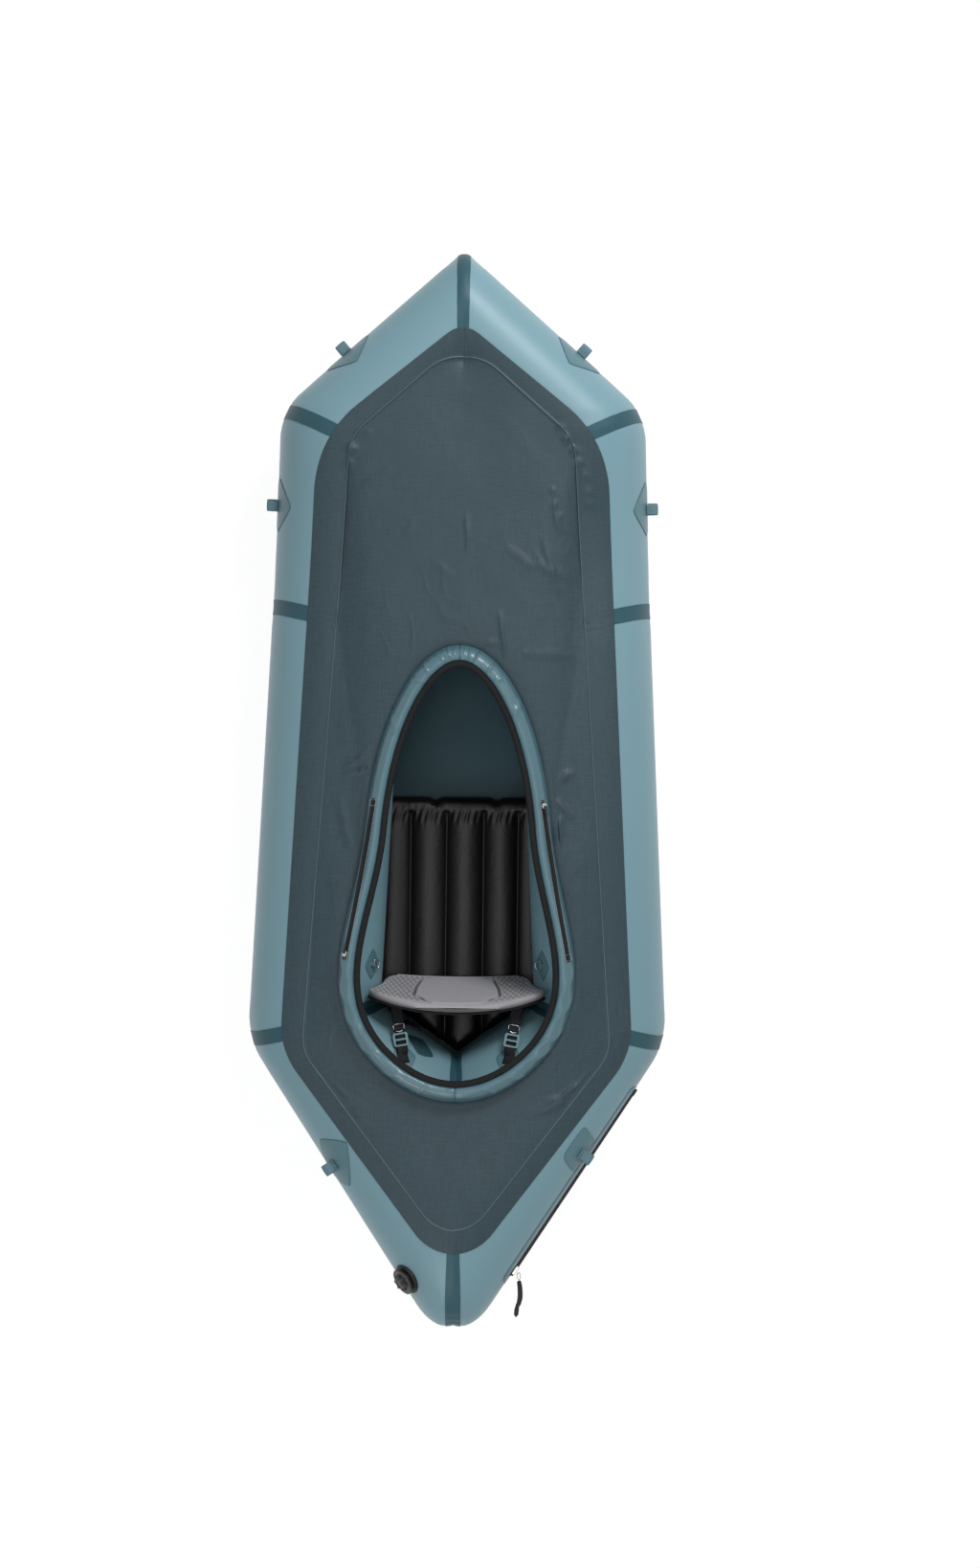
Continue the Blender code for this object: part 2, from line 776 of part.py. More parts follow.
def build_coaming(turns):
    rows = [[sleeve_point(turn, k) for k in range(len(SLEEVE_SHARES))] for turn in turns]
    sleeve = sheet_object("coaming_sleeve", full_ring(rows), SLEEVE_WALL, "sleeve_fabric", closed=True)
    sleeve.modifiers["thickness"].offset = -1
    radius = ROD_DIAMETER / 2
    inset = SLEEVE_WIDTH * (SLEEVE_SHARES[4][0] + SLEEVE_SHARES[5][0]) / 2
    high = SLEEVE_HEIGHT * SLEEVE_SHARES[4][1] - SLEEVE_WALL - radius + SKIN_GAP
    centre = [[coaming_point(turn, inset, high)] for turn in turns]
    tube_object(
        "coaming_rod", [row[0] for row in full_ring(centre)], ROD_DIAMETER, "black_plastic",
        sides_level=1, cyclic=True,
    )
    start = SLEEVE_WIDTH + GAP
    top = SLEEVE_HEIGHT * SLEEVE_SHARES[6][1]
    outline = [
        (start, top - BINDING_HEIGHT),
        (start, top),
        (start + BINDING_WIDTH * 0.35, top + BINDING_HEIGHT * 0.12),
        (start + BINDING_WIDTH * 0.8, top - BINDING_HEIGHT * 0.05),
        (start + BINDING_WIDTH, top - BINDING_HEIGHT * 0.45),
        (start + BINDING_WIDTH * 0.85, top - BINDING_HEIGHT * 0.9),
    ]
    rings = [[coaming_point(turn, inset, high) for inset, high in outline] for turn in turns]
    ring_loft("cockpit_binding", full_ring(rings), "black_fabric", closed=True)


# Coaming zips: an arc along each side of the sleeve, with a slider and a pull

SLEEVE_ZIP_PLACE = 3.5


def turn_at(y):
    low, high = 0.0, math.pi
    for _ in range(50):
        middle = (low + high) / 2
        if coaming_edge(middle).y > y:
            low = middle
        else:
            high = middle
    return low


def zip_point(turns, turn, place, lift=0.0):
    """A point on the sleeve as it is built, with straight lines between its turns."""
    k = max(i for i in range(len(turns) - 1) if turns[i] <= turn + 1e-9)
    share = (turn - turns[k]) / (turns[k + 1] - turns[k])
    return sleeve_point(turns[k], place, lift).lerp(sleeve_point(turns[k + 1], place, lift), share)


def zip_frame(turns, turn, lift):
    """A frame on the sleeve's zip line: along it, across it and out of it."""
    small = 0.004
    place = SLEEVE_ZIP_PLACE
    origin = zip_point(turns, turn, place, lift)
    along = (zip_point(turns, turn + small, place) - zip_point(turns, turn - small, place)).normalized()
    across = zip_point(turns, turn, place + small) - zip_point(turns, turn, place - small)
    across = (across - along * across.dot(along)).normalized()
    out = across.cross(along).normalized()
    if out.z < 0:
        out = -out
    return origin, along, across, out


def handed(points, side):
    return [Vector((p.x * side, p.y, p.z)) for p in points]


def sleeve_arc(turns):
    """The circle on the right that the slider runs on: its centre, axis, middle frame and two ends."""
    first = turn_at(COAMING_CENTRE + SLEEVE_ZIP_FRONT_SHARE * COAMING_HALF_LENGTH)
    last = turn_at(COAMING_CENTRE + SLEEVE_ZIP_REAR_SHARE * COAMING_HALF_LENGTH)
    middle = first + (last - first) * SLEEVE_ZIP_MIDDLE_SHARE
    a, b, c = (zip_frame(turns, turn, SLEEVE_ZIP_LIFT)[0] for turn in (first, middle, last))
    to_b, to_c = b - a, c - a
    square = to_b.cross(to_c)
    reach = square.cross(to_b) * to_c.length_squared + to_c.cross(square) * to_b.length_squared
    centre = a + reach / (2 * square.length_squared)
    axis = square.normalized()
    along = axis.cross(b - centre).normalized()
    out = zip_frame(turns, middle, 0)[3]
    out = (out - along * out.dot(along)).normalized()
    ends = []
    for end in (a, c):
        turned = (b - centre).angle(end - centre)
        ends.append(turned if (b - centre).cross(end - centre).dot(axis) > 0 else -turned)
    return centre, axis, (b, along, along.cross(out), out), ends


def arc_frame(arc, angle):
    """The middle frame turned about the circle's axis."""
    centre, axis, (origin, along, across, out), _ = arc
    turn = Matrix.Rotation(angle, 3, axis)
    return centre + turn @ (origin - centre), turn @ along, turn @ across, turn @ out


def build_coaming_zips(turns):
    arc_line = sleeve_arc(turns)
    radius = (arc_line[2][0] - arc_line[0]).length
    front, rear = arc_line[3]
    half = SLEEVE_ZIP_WIDTH / 2
    for hand, side in (("right", 1), ("left", -1)):
        rings = []
        for k in range(SLEEVE_ZIP_STEPS + 1):
            origin, along, across, out = arc_frame(arc_line, front + (rear - front) * k / SLEEVE_ZIP_STEPS)
            low = [origin + across * w for w in (-half, half)]
            high = [origin + across * w + out * SLEEVE_ZIP_HEIGHT for w in (half, half / 3, -half / 3, -half)]
            high[1] += out * SLEEVE_ZIP_HEIGHT / 3
            high[2] += out * SLEEVE_ZIP_HEIGHT / 3
            rings.append(handed(low + high, side))
        ring_loft(f"coaming_zip_{hand}", rings, "black_plastic")
        at_front = side > 0
        towards = 1 if rear > front else -1
        inset = towards * SMALL_SLIDER_LENGTH / radius
        origin, along, across, out = arc_frame(arc_line, front + inset if at_front else rear - inset)
        origin += out * (SLEEVE_ZIP_HEIGHT * 4 / 3 + GAP)
        small_slider(f"coaming_zip_slider_{hand}", origin, along, across, out, side)
        way = towards if at_front else -towards
        small_pull(f"coaming_zip_pull_{hand}", origin, along * way, across, out, side)


def small_slider(name, origin, along, across, out, side):
    """A wedge that sits over the teeth, with a raised crown."""
    rings = []
    half_length = SMALL_SLIDER_LENGTH / 2
    for place, wide, high in (
        (-1, 0.35, 0.5), (-0.6, 0.48, 0.75), (0, 0.5, 1), (0.6, 0.42, 0.8), (1, 0.3, 0.5),
    ):
        middle = origin + along * (place * half_length)
        w = wide * SMALL_SLIDER_WIDTH
        h = high * SMALL_SLIDER_HEIGHT
        ring = [
            middle - across * w,
            middle + across * w,
            middle + across * (w * 0.8) + out * h,
            middle - across * (w * 0.8) + out * h,
        ]
        rings.append(handed(ring, side))
    ring_loft(name, rings, "metal")


def small_pull(name, origin, along, across, out, side):
    """A flat tab hinged on the slider's crown, lying along the zip."""
    lift = SMALL_SLIDER_HEIGHT + GAP
    rings = []
    for place, wide in ((0, 0.5), (0.12, 0.8), (0.5, 0.75), (0.88, 1), (1, 0.7)):
        middle = origin + out * lift + along * (place * SMALL_PULL_LENGTH)
        w = wide * SMALL_PULL_WIDTH / 2
        ring = [
            middle - across * w,
            middle + across * w,
            middle + across * w + out * SMALL_PULL_THICKNESS,
            middle - across * w + out * SMALL_PULL_THICKNESS,
        ]
        rings.append(handed(ring, side))
    ring_loft(name, rings, "black_plastic")


# Seat mat: five inflated channels, a scalloped front and a blunt point at the rear

MAT_LOBE_STEPS = 6
MAT_LENGTH_SHARES = [0, 0.012, 0.04, 0.10, 0.25, 0.5, 0.75, 0.90, 0.96, 0.988, 1]
MAT_END_SHARES = [0.16, 0.5, 0.8, 1, 1, 1, 1, 1, 0.8, 0.5, 0.16]


def inner_wall(y):
    """Half the width between the side tubes."""
    share = (INNER[1].y - y) / (INNER[1].y - INNER[2].y)
    return INNER[1].x + (INNER[2].x - INNER[1].x) * share


def mat_height(share, full):
    """Half height over the width, with a valley between channels."""
    lobe = abs(math.sin(share * MAT_CHANNELS * math.pi))
    edge = min(1.0, min(share, 1 - share) * MAT_CHANNELS * 2)
    low = MAT_VALLEY / 2 if edge >= 1 else MAT_VALLEY / 2 * math.sin(edge * math.pi / 2)
    half = low + (MAT_HEIGHT / 2 - low) * lobe ** 0.7
    return half * full


def build_mat():
    count = MAT_CHANNELS * MAT_LOBE_STEPS
    front = MAT_FRONT_SHARE * HALF_LENGTH
    rear = MAT_REAR_SHARE * HALF_LENGTH
    bottom = FLOOR_SHEET + GAP
    rings = []
    for along, full in zip(MAT_LENGTH_SHARES, MAT_END_SHARES):
        top, low = [], []
        for k in range(count + 1):
            share = k / count
            across = 2 * share - 1
            lobe = abs(math.sin(share * MAT_CHANNELS * math.pi))
            y_front = front - MAT_FRONT_SCALLOP * (1 - lobe)
            middle_y = (front + rear) / 2
            wide = inner_wall(middle_y) + MAT_TUCK
            y_rear = rear + MAT_REAR_SLOPE_SHARE * wide * abs(across)
            y = y_front + (y_rear - y_front) * along
            wide_here = (inner_wall(min(max(y, INNER[2].y), INNER[1].y)) + MAT_TUCK)
            half = mat_height(share, full)
            middle = bottom + rise(y) + MAT_HEIGHT / 2
            top.append(Vector((wide_here * across, y, middle + half)))
            low.append(Vector((wide_here * across, y, middle - half)))
        rings.append(top + low[-2:0:-1])
    ring_loft("seat_pad", rings, "mat_fabric")


# Backrest: moulded foam on a backing, leaning back from a rounded foot

BACKREST_SHARES = [
    (0.0, 0.60), (0.10, 0.72), (0.22, 0.77), (0.38, 0.78), (0.55, 0.83), (0.70, 0.92),
    (0.80, 0.985), (0.88, 0.93), (0.95, 0.74), (1.0, 0.45),
]
FOAM_COLUMNS = 20
BACKING_COLUMNS = 10
PANEL_HALF_SHARE = 0.48
PANEL_RELIEF = 0.0035
GROOVE_SHARE = 0.06
FOOT_DROP_SHARE = 0.93
FOOT_NARROW_SHARE = 0.33


def anchor_frame():
    """Where the right strap's tab leaves the stern tube."""
    return skin_frame("stern", ANCHOR_RUN_SHARE, ANCHOR_ANGLE, PATCH_LIFT + PATCH_SHEET)


def backrest_axis():
    seat_top = FLOOR_SHEET + GAP + MAT_HEIGHT
    place = anchor_frame()[0].y + BACKREST_REACH
    return Vector((0, place, seat_top + GAP + BACKREST_FOOT_RADIUS))


BACKREST_HALF_WIDTH = inner_wall(backrest_axis().y) + BACKREST_SIDE_TUCK


def backrest_point(up, across, depth, sink=0.0):
    """A point of the backrest: up its height, across its width, and back from its front face."""
    axis = backrest_axis()
    lean = BACKREST_LEAN
    wide = BACKREST_SHARES[0][1] * BACKREST_HALF_WIDTH
    for (a, b), (c, d) in zip(BACKREST_SHARES, BACKREST_SHARES[1:]):
        if a <= up <= c:
            wide = (b + (d - b) * (up - a) / (c - a)) * BACKREST_HALF_WIDTH
    wide -= sink
    forward = BACKREST_WRAP * (up * across * across - 0.25 * up)
    local_z = up * (BACKREST_HEIGHT - sink)
    local_y = forward + BACKREST_FOOT_RADIUS - depth
    y = axis.y + local_y * math.cos(lean) - local_z * math.sin(lean)
    z = axis.z + local_y * math.sin(lean) + local_z * math.cos(lean)
    return Vector((wide * across, y, z))


def backrest_layer(name, columns, front, back, material, relief, sink):
    rings = []
    foot_up = -FOOT_DROP_SHARE * BACKREST_FOOT_RADIUS / BACKREST_HEIGHT
    levels = [up for up, _ in BACKREST_SHARES]
    for up in [foot_up] + levels if relief else levels:
        face, rear = [], []
        narrow = FOOT_NARROW_SHARE * (back - front) if up < 0 else 0.0
        for k in range(columns + 1):
            across = 2 * k / columns - 1
            raised = 0.0
            if relief:
                edge = abs(abs(across) - PANEL_HALF_SHARE)
                if edge < GROOVE_SHARE and 0 < up < 1:
                    raised = -PANEL_RELIEF
                elif abs(across) < PANEL_HALF_SHARE and 0.05 < up < 0.9:
                    raised = PANEL_RELIEF
            rounding = BACKREST_FOOT_RADIUS * 0.35 if up in (0.0, 1.0) or k in (0, columns) else 0.0
            face.append(backrest_point(up, across, front - raised + rounding + narrow, sink))
            rear.append(backrest_point(up, across, back - narrow, sink))
        rings.append(face + rear[::-1])
    return ring_loft(name, rings, material)


def build_backrest():
    backrest_layer("backrest_foam", FOAM_COLUMNS, 0.0, BACKREST_THICKNESS, "grey_foam", True, 0.0)
    start = BACKREST_THICKNESS + GAP
    backrest_layer("backrest_backing", BACKING_COLUMNS, start, start + BACKING_THICKNESS, "black_fabric", False, -0.003)


# Patches and webbing on the tubes

def girth_rows(middle, half_girth, radius):
    """Angles across a patch, with every edge between tube sides that it crosses."""
    step = 2 * math.pi / TUBE_SIDES
    low = middle - half_girth / radius
    high = middle + half_girth / radius
    inside = [k * step for k in range(math.ceil(low / step), math.floor(high / step) + 1)]
    rows = [low] + [a for a in inside if low + step / 6 < a < high - step / 6] + [high]
    return rows


PATCH_COLUMNS = 4


def patch_object(name, run, t, angle, half_length, half_girth, shape, side, material, lift=PATCH_LIFT):
    """A welded patch; shape gives its half length, as a share, over its girth from -1 to 1."""
    i = RUNS.index(run)
    length = (OUTER[i + 1] - OUTER[i]).length
    radius = section(run, t)[4]
    rows = []
    for a in girth_rows(angle, half_girth, radius):
        share = shape((a - angle) * radius / half_girth)
        row = []
        for k in range(PATCH_COLUMNS + 1):
            place = t + (2 * k / PATCH_COLUMNS - 1) * share * half_length / length
            row.append(skin(run, place, a, lift))
        rows.append(row)
    rows = [handed(row, side) for row in rows]
    if side > 0:
        rows = rows[::-1]
    return sheet_object(name, rows, PATCH_SHEET, material)


def diamond(share):
    return max(1 - abs(share), 0.10) ** 0.8


def oblong(share):
    return 1 if abs(share) < 0.8 else 0.85


def d_outline(half, reach, steps=6):
    """A D on its back: two legs from the base line and a round end."""
    return [(half, 0)] + arc((0, reach - half), half, 0, math.pi, steps) + [(-half, 0)]


def inset_d(half, reach, wall, steps=6):
    inner = half - wall
    return [(inner, wall)] + arc((0, reach - half), inner, 0, math.pi, steps) + [(-inner, wall)]


def tie_down(number, run, side, t, loop_degrees, patch_degrees):
    angle = math.radians(loop_degrees)
    shape, half_length, half_girth = diamond, TIE_PATCH_HALF_LENGTH, TIE_PATCH_HALF_GIRTH
    if run == "stern" and side > 0:
        shape, half_length, half_girth = oblong, OBLONG_HALF_LENGTH, OBLONG_HALF_GIRTH
    patch_object(
        f"tie_down_patch_{number}", run, t, math.radians(patch_degrees), half_length, half_girth, shape,
        side, "hull_fabric",
    )
    origin, along, girth, out = skin_frame(run, t, angle, PATCH_LIFT + PATCH_SHEET + GAP)
    origin, along, girth, out = handed((origin, along, girth, out), side)
    place = frame_matrix(origin, girth, out, girth.cross(out))
    outline = d_outline(LOOP_HALF_HEIGHT, LOOP_REACH)
    hole = inset_d(LOOP_HALF_HEIGHT, LOOP_REACH, WEBBING_THICKNESS)
    plate_object(f"tie_down_loop_{number}", [outline, hole], WEBBING_WIDTH, place, "webbing")


def build_tie_downs():
    for number, (run, side, t, loop_degrees, patch_degrees) in TIE_DOWN_PLACES.items():
        tie_down(number, run, side, t, loop_degrees, patch_degrees)


def ring_wire(name, half, reach, place, material="metal"):
    """A D-ring: a straight bar and a round bow of one wire."""
    points = [(-half, 0, 0), (half, 0, 0)]
    points += [(x, y, 0) for x, y in arc((0, reach - half), half, 0, math.pi, 6)]
    item = tube_object(name, points, RING_WIRE, material, sides_level=1, cyclic=True)
    item.matrix_world = place
    return item


TAB_LENGTH = 0.012
TAB_RADIUS = 0.0036


def tab_union(patch, name, origin, bar, out, width):
    """A webbing keeper round the ring's bar, joined to its patch."""
    base = as_mesh(patch)
    sides = 10
    outline = arc((0, TAB_RADIUS), TAB_RADIUS, -math.pi / 2, 1.5 * math.pi, sides)[:-1]
    hole = arc((0, TAB_RADIUS), RING_WIRE / 2 + GAP, -math.pi / 2, 1.5 * math.pi, sides)[:-1]
    third = bar.cross(out)
    place = frame_matrix(origin, third, out, third.cross(out))
    keeper = as_mesh(plate_object(name + "_keeper", [outline, hole], width, place, "webbing"))
    boolean(base, keeper, "UNION")
    return base


def build_thigh_rings():
    x, y = THIGH_SHARES[0] * HALF_BEAM, THIGH_SHARES[1] * HALF_LENGTH
    t, angle = locate("side", x, y)
    for hand, side in (("right", 1), ("left", -1)):
        name = f"thigh_patch_{hand}"
        patch = patch_object(
            name, "side", t, angle, THIGH_PATCH_HALF_LENGTH, THIGH_PATCH_HALF_GIRTH, diamond, side,
            "floor_fabric",
        )
        origin, along, girth, out = skin_frame("side", t, angle, PATCH_LIFT + PATCH_SHEET / 2)
        origin, along, girth, out = handed((origin, along, girth, out), side)
        tab_union(patch, name, origin, along, out, THIGH_RING_WIDTH * 0.55)
        inward = -girth if girth.z > 0 else girth
        lift = origin + out * TAB_RADIUS
        hang = (inward + out * 0.35).normalized()
        ring_wire(
            f"thigh_ring_{hand}", THIGH_RING_WIDTH / 2, RING_REACH,
            frame_matrix(lift, along, hang, along.cross(hang)),
        )


# Backrest straps: backing, a pair of D-rings, a ladder lock, and an anchor on the tube

def strap_line(side):
    """Start on the backing and end on the anchor patch, with the unit vectors of the strap."""
    origin, along, girth, out = anchor_frame()
    x = origin.x + STRAP_SPLAY
    across = x / BACKREST_HALF_WIDTH
    depth = BACKREST_THICKNESS + GAP + BACKING_THICKNESS
    start = backrest_point(STRAP_HEIGHT_SHARE, across, depth + 2.2 * WEBBING_THICKNESS)
    end = origin + out * TAB_RADIUS
    start = Vector((x, start.y, start.z))
    start, end = handed((start, end), side)
    forward = (end - start).normalized()
    wide = forward.cross(Vector((0, 0, 1))).normalized()
    up = wide.cross(forward).normalized()
    return start, end, forward, wide, up


STRAP_SHARES = (0.34, 0.60)


def lock_outlines():
    half_wide = WEBBING_WIDTH / 2 + LOCK_BAR
    outer = rounded_box(2 * half_wide, LOCK_LENGTH, LOCK_BAR)
    slot = LOCK_LENGTH / 2 - 1.5 * LOCK_BAR
    holes = []
    for way in (-1, 1):
        middle = way * (slot / 2 + LOCK_BAR / 2)
        box = rounded_box(WEBBING_WIDTH * 0.94, slot, LOCK_BAR / 3, 1)
        holes.append([(x, y + middle) for x, y in box])
    return [outer] + holes


def build_straps():
    for hand, side in (("right", 1), ("left", -1)):
        start, end, forward, wide, up = strap_line(side)
        length = (end - start).length
        ribbon_end = STRAP_SHARES[0] * length - RING_WIRE / 2 - GAP
        middle = start + forward * (ribbon_end / 2)
        place = frame_matrix(middle, wide, forward, up)
        plate_object(
            f"back_strap_{hand}", [rounded_box(WEBBING_WIDTH, ribbon_end, WEBBING_THICKNESS)],
            WEBBING_THICKNESS, place, "webbing",
        )
        for k, name in enumerate(("front", "rear")):
            bar = start + forward * (STRAP_SHARES[0] * length) + up * (k * (RING_WIRE + GAP))
            ring_wire(
                f"strap_ring_{name}_{hand}", WEBBING_WIDTH / 2, RING_REACH,
                frame_matrix(bar, wide, forward, wide.cross(forward)),
            )
        centre = start + forward * (STRAP_SHARES[0] * length + RING_REACH + RING_WIRE / 2 + GAP + LOCK_LENGTH / 2)
        plate_object(
            f"ladder_lock_{hand}", lock_outlines(), LOCK_THICKNESS,
            frame_matrix(centre, wide, forward, up), "teal_plastic",
        )
        name = f"strap_anchor_{hand}"
        patch = patch_object(
            name, "stern", ANCHOR_RUN_SHARE, ANCHOR_ANGLE, ANCHOR_PATCH_HALF_LENGTH,
            ANCHOR_PATCH_HALF_GIRTH, oblong, side, "floor_fabric", ANCHOR_LIFT,
        )
        base = as_mesh(patch)
        origin, _, girth, out = skin_frame("stern", ANCHOR_RUN_SHARE, ANCHOR_ANGLE, ANCHOR_LIFT + PATCH_SHEET)
        origin, girth, out = handed((origin, girth, out), side)
        flat_way = (forward - out * forward.dot(out)).normalized()
        flat_wide = flat_way.cross(out)
        low = centre + forward * (LOCK_LENGTH / 2 + GAP)
        sunk = origin + out * (WEBBING_THICKNESS / 2 - PATCH_SHEET / 2)
        path = [low, sunk - flat_way * TAB_LENGTH, sunk + flat_way * TAB_LENGTH]
        rings = []
        for point, across, normal in zip(path, (wide, flat_wide, flat_wide), (up, out, out)):
            ring = []
            for w, h in ((-1, -1), (1, -1), (1, 1), (-1, 1)):
                ring.append(point + across * (w * WEBBING_WIDTH / 2) + normal * (h * WEBBING_THICKNESS / 2))
            rings.append(ring)
        tab = as_mesh(ring_loft(name + "_tab", rings, "webbing"))
        boolean(base, tab, "UNION")


# Cargo zip on the right stern tube

def cargo_line(t):
    step = 2 * math.pi / TUBE_SIDES
    return skin("stern", t, ZIP_FACET_SHARE * step, 0.0)


def cargo_frame():
    """Ends of the chain, and unit vectors along it, across it and out of it."""
    a, b = cargo_line(ZIP_FRONT_SHARE), cargo_line(ZIP_REAR_SHARE)
    along = (b - a).normalized()
    step = 2 * math.pi / TUBE_SIDES
    middle = (ZIP_FRONT_SHARE + ZIP_REAR_SHARE) / 2
    girth = skin("stern", middle, step) - skin("stern", middle, 0)
    out = girth.cross(along).normalized()
    if out.x < 0:
        out = -out
    across = out.cross(along).normalized()
    if across.z < 0:
        across = -across
    return a, b, along, across, out


ZIP_LIFT = 0.0005


def build_cargo_zip():
    a, b, along, across, out = cargo_frame()
    length = (b - a).length
    step = 2 * math.pi / TUBE_SIDES
    radius = section("stern", (ZIP_FRONT_SHARE + ZIP_REAR_SHARE) / 2)[4]
    middle = ZIP_FACET_SHARE * step
    margin = (STOP_LENGTH + WEBBING_THICKNESS) / length * (ZIP_REAR_SHARE - ZIP_FRONT_SHARE)
    angles = sorted((middle - ZIP_TAPE_BELOW / radius, 0, middle, step, middle + ZIP_TAPE_ABOVE / radius))
    places = [ZIP_FRONT_SHARE - margin]
    places += [t for t in STATION_SHARES["stern"] if ZIP_FRONT_SHARE < t < ZIP_REAR_SHARE]
    places.append(ZIP_REAR_SHARE + margin)
    rows = [[skin("stern", t, angle, PATCH_LIFT) for t in places] for angle in angles]
    sheet_object("cargo_zip_tape", rows[::-1], ZIP_TAPE_SHEET, "floor_fabric")
    base = out * (ZIP_LIFT + PATCH_LIFT + ZIP_TAPE_SHEET)
    teeth = int(length / TOOTH_PITCH)
    pitch = length / teeth
    outline = [(0, 0), (length, 0)]
    for k in range(teeth, 0, -1):
        outline.append((k * pitch, CHAIN_HEIGHT - TOOTH_DEPTH))
        outline.append(((k - 0.3) * pitch, CHAIN_HEIGHT))
        outline.append(((k - 0.7) * pitch, CHAIN_HEIGHT))
    outline.append((0, CHAIN_HEIGHT - TOOTH_DEPTH))
    place = frame_matrix(a + base, along, out, along.cross(out))
    plate_object("cargo_zip_chain", [outline], CHAIN_WIDTH, place, "rubber")
    stop_box = rounded_box(STOP_LENGTH, CHAIN_WIDTH * 1.7, CHAIN_WIDTH / 3)
    centre = a - along * (STOP_LENGTH / 2 + GAP) + base + out * (CHAIN_HEIGHT * STOP_HEIGHT_SHARE / 2)
    plate_object(
        "cargo_zip_stop", [stop_box], CHAIN_HEIGHT * STOP_HEIGHT_SHARE,
        frame_matrix(centre, along, across, along.cross(across)), "rubber",
    )
    build_cargo_slider(b, along, across, out, base)


SLIDER_INSET = 0.004


def build_cargo_slider(b, along, across, out, base):
    """A saddle over the chain, a wire loop on it and a covered pull."""
    middle = b - along * (SLIDER_LENGTH / 2 + SLIDER_INSET) + base
    low, high = GAP, CHAIN_HEIGHT + 2 * GAP
    inner = CHAIN_WIDTH / 2 + 2 * GAP
    outer = SLIDER_WIDTH / 2 + 2 * GAP
    saddle = [
        (-outer, low), (-inner, low), (-inner, high), (inner, high), (inner, low), (outer, low),
        (outer, high + SLIDER_WALL / 2), (outer - SLIDER_WALL / 2, high + SLIDER_WALL),
        (-outer + SLIDER_WALL / 2, high + SLIDER_WALL), (-outer, high + SLIDER_WALL / 2),
    ]
    normal = across.cross(out)
    plate_object(
        "cargo_zip_slider", [saddle], SLIDER_LENGTH, frame_matrix(middle, across, out, normal), "metal",
    )
    top = middle + out * (high + SLIDER_WALL + 2 * WIRE_DIAMETER)
    hang = Vector((0, -1, 0))
    side = hang.cross(Vector((0, 0, 1))).normalized()
    half = SLIDER_WALL * 1.6
    reach = SLIDER_LENGTH * 0.6
    points = [top - side * half, top + side * half]
    points += [
        top + side * (half * math.cos(a)) + hang * (reach + half * math.sin(a))
        for a in (0, math.pi / 4, math.pi / 2, 3 * math.pi / 4, math.pi)
    ]
    tube_object("cargo_zip_wire", points, WIRE_DIAMETER, "metal", sides_level=1, cyclic=True)
    start = top + hang * (reach + half + WIRE_DIAMETER / 2 + GAP)
    rings = []
    steps = 8
    sides = 8
    for k in range(steps + 1):
        share = k / steps
        place = start + hang * (PULL_LENGTH * share)
        place.z -= PULL_DROOP * share * share
        swell = 0.55 + 0.45 * math.sin(math.pi * min(1, 0.12 + share)) ** 0.5 if share < 1 else 0.5
        radius = PULL_DIAMETER / 2 * swell
        ring = []
        for j in range(sides):
            a = 2 * math.pi * j / sides
            ring.append(place + side * (radius * math.cos(a)) + Vector((0, 0, radius * math.sin(a))))
        rings.append(ring)
    ring_loft("cargo_zip_pull", rings, "rubber")


# Inflation valve on the left stern tube

def hull_cutter(run, lift):
    """A closed solid of a tube panel, grown by a lift."""
    step = 2 * math.pi / TUBE_SIDES
    rings = []
    for t in STATION_SHARES[run]:
        rings.append([mirrored(hull_point(run, t, k * step, lift)) for k in range(TUBE_SIDES)])
    cutter = ring_loft("valve_seat_cutter", rings, "hull_fabric")
    cutter.hide_render = True
    cutter.display_type = "WIRE"
    return cutter


def build_valve():
    t, angle = locate("stern", VALVE_SHARES[0] * HALF_BEAM, VALVE_SHARES[1] * HALF_LENGTH)
    origin, along, girth, out = skin_frame("stern", t, angle, SKIN_GAP)
    origin, along, out = mirrored(origin), mirrored(along), mirrored(out)
    girth = out.cross(along)
    place = frame_matrix(origin, along, girth, out)
    flange = FLANGE_DIAMETER / 2
    bore = VALVE_BORE / 2
    barrel = BARREL_DIAMETER / 2
    collar = turned_object(
        "valve_base",
        [
            (flange, -FLANGE_SKIRT), (barrel - GAP, -FLANGE_SKIRT), (barrel - GAP, 0),
            (barrel - GAP, FLANGE_THICKNESS), (flange - FLANGE_THICKNESS / 2, FLANGE_THICKNESS),
            (flange, FLANGE_THICKNESS / 2),
        ][::-1],
        place, "rubber",
    )
    collar = as_mesh(collar)
    collar.data.materials.clear()
    collar.data.materials.append(MATERIALS["rubber"])
    boolean(collar, hull_cutter("stern", GAP), "DIFFERENCE")
    collar = as_mesh(collar)
    collar.name = "valve_base"
    neck = turned_object(
        "valve_neck",
        [
            (bore + VALVE_RIM_WALL, VALVE_RIM_HEIGHT), (bore + VALVE_RIM_WALL, FLANGE_THICKNESS / 2),
            (barrel, FLANGE_THICKNESS / 2), (barrel, -BARREL_DEPTH), (bore, -BARREL_DEPTH),
            (bore, VALVE_RIM_HEIGHT),
        ],
        place, "rubber",
    )
    neck = as_mesh(neck)
    boolean(collar, neck, "UNION")
    hole = turned_object(
        "valve_hole_cutter",
        [(barrel + HOLE_CLEARANCE, OVERRUN), (barrel + HOLE_CLEARANCE, -BARREL_DEPTH), (0, -BARREL_DEPTH),
         (0, OVERRUN)],
        place, "rubber",
    )
    hole = as_mesh(hole)
    boolean(bpy.data.objects["stern_tube_left"], hole, "DIFFERENCE")
    build_valve_inside(place, bore)


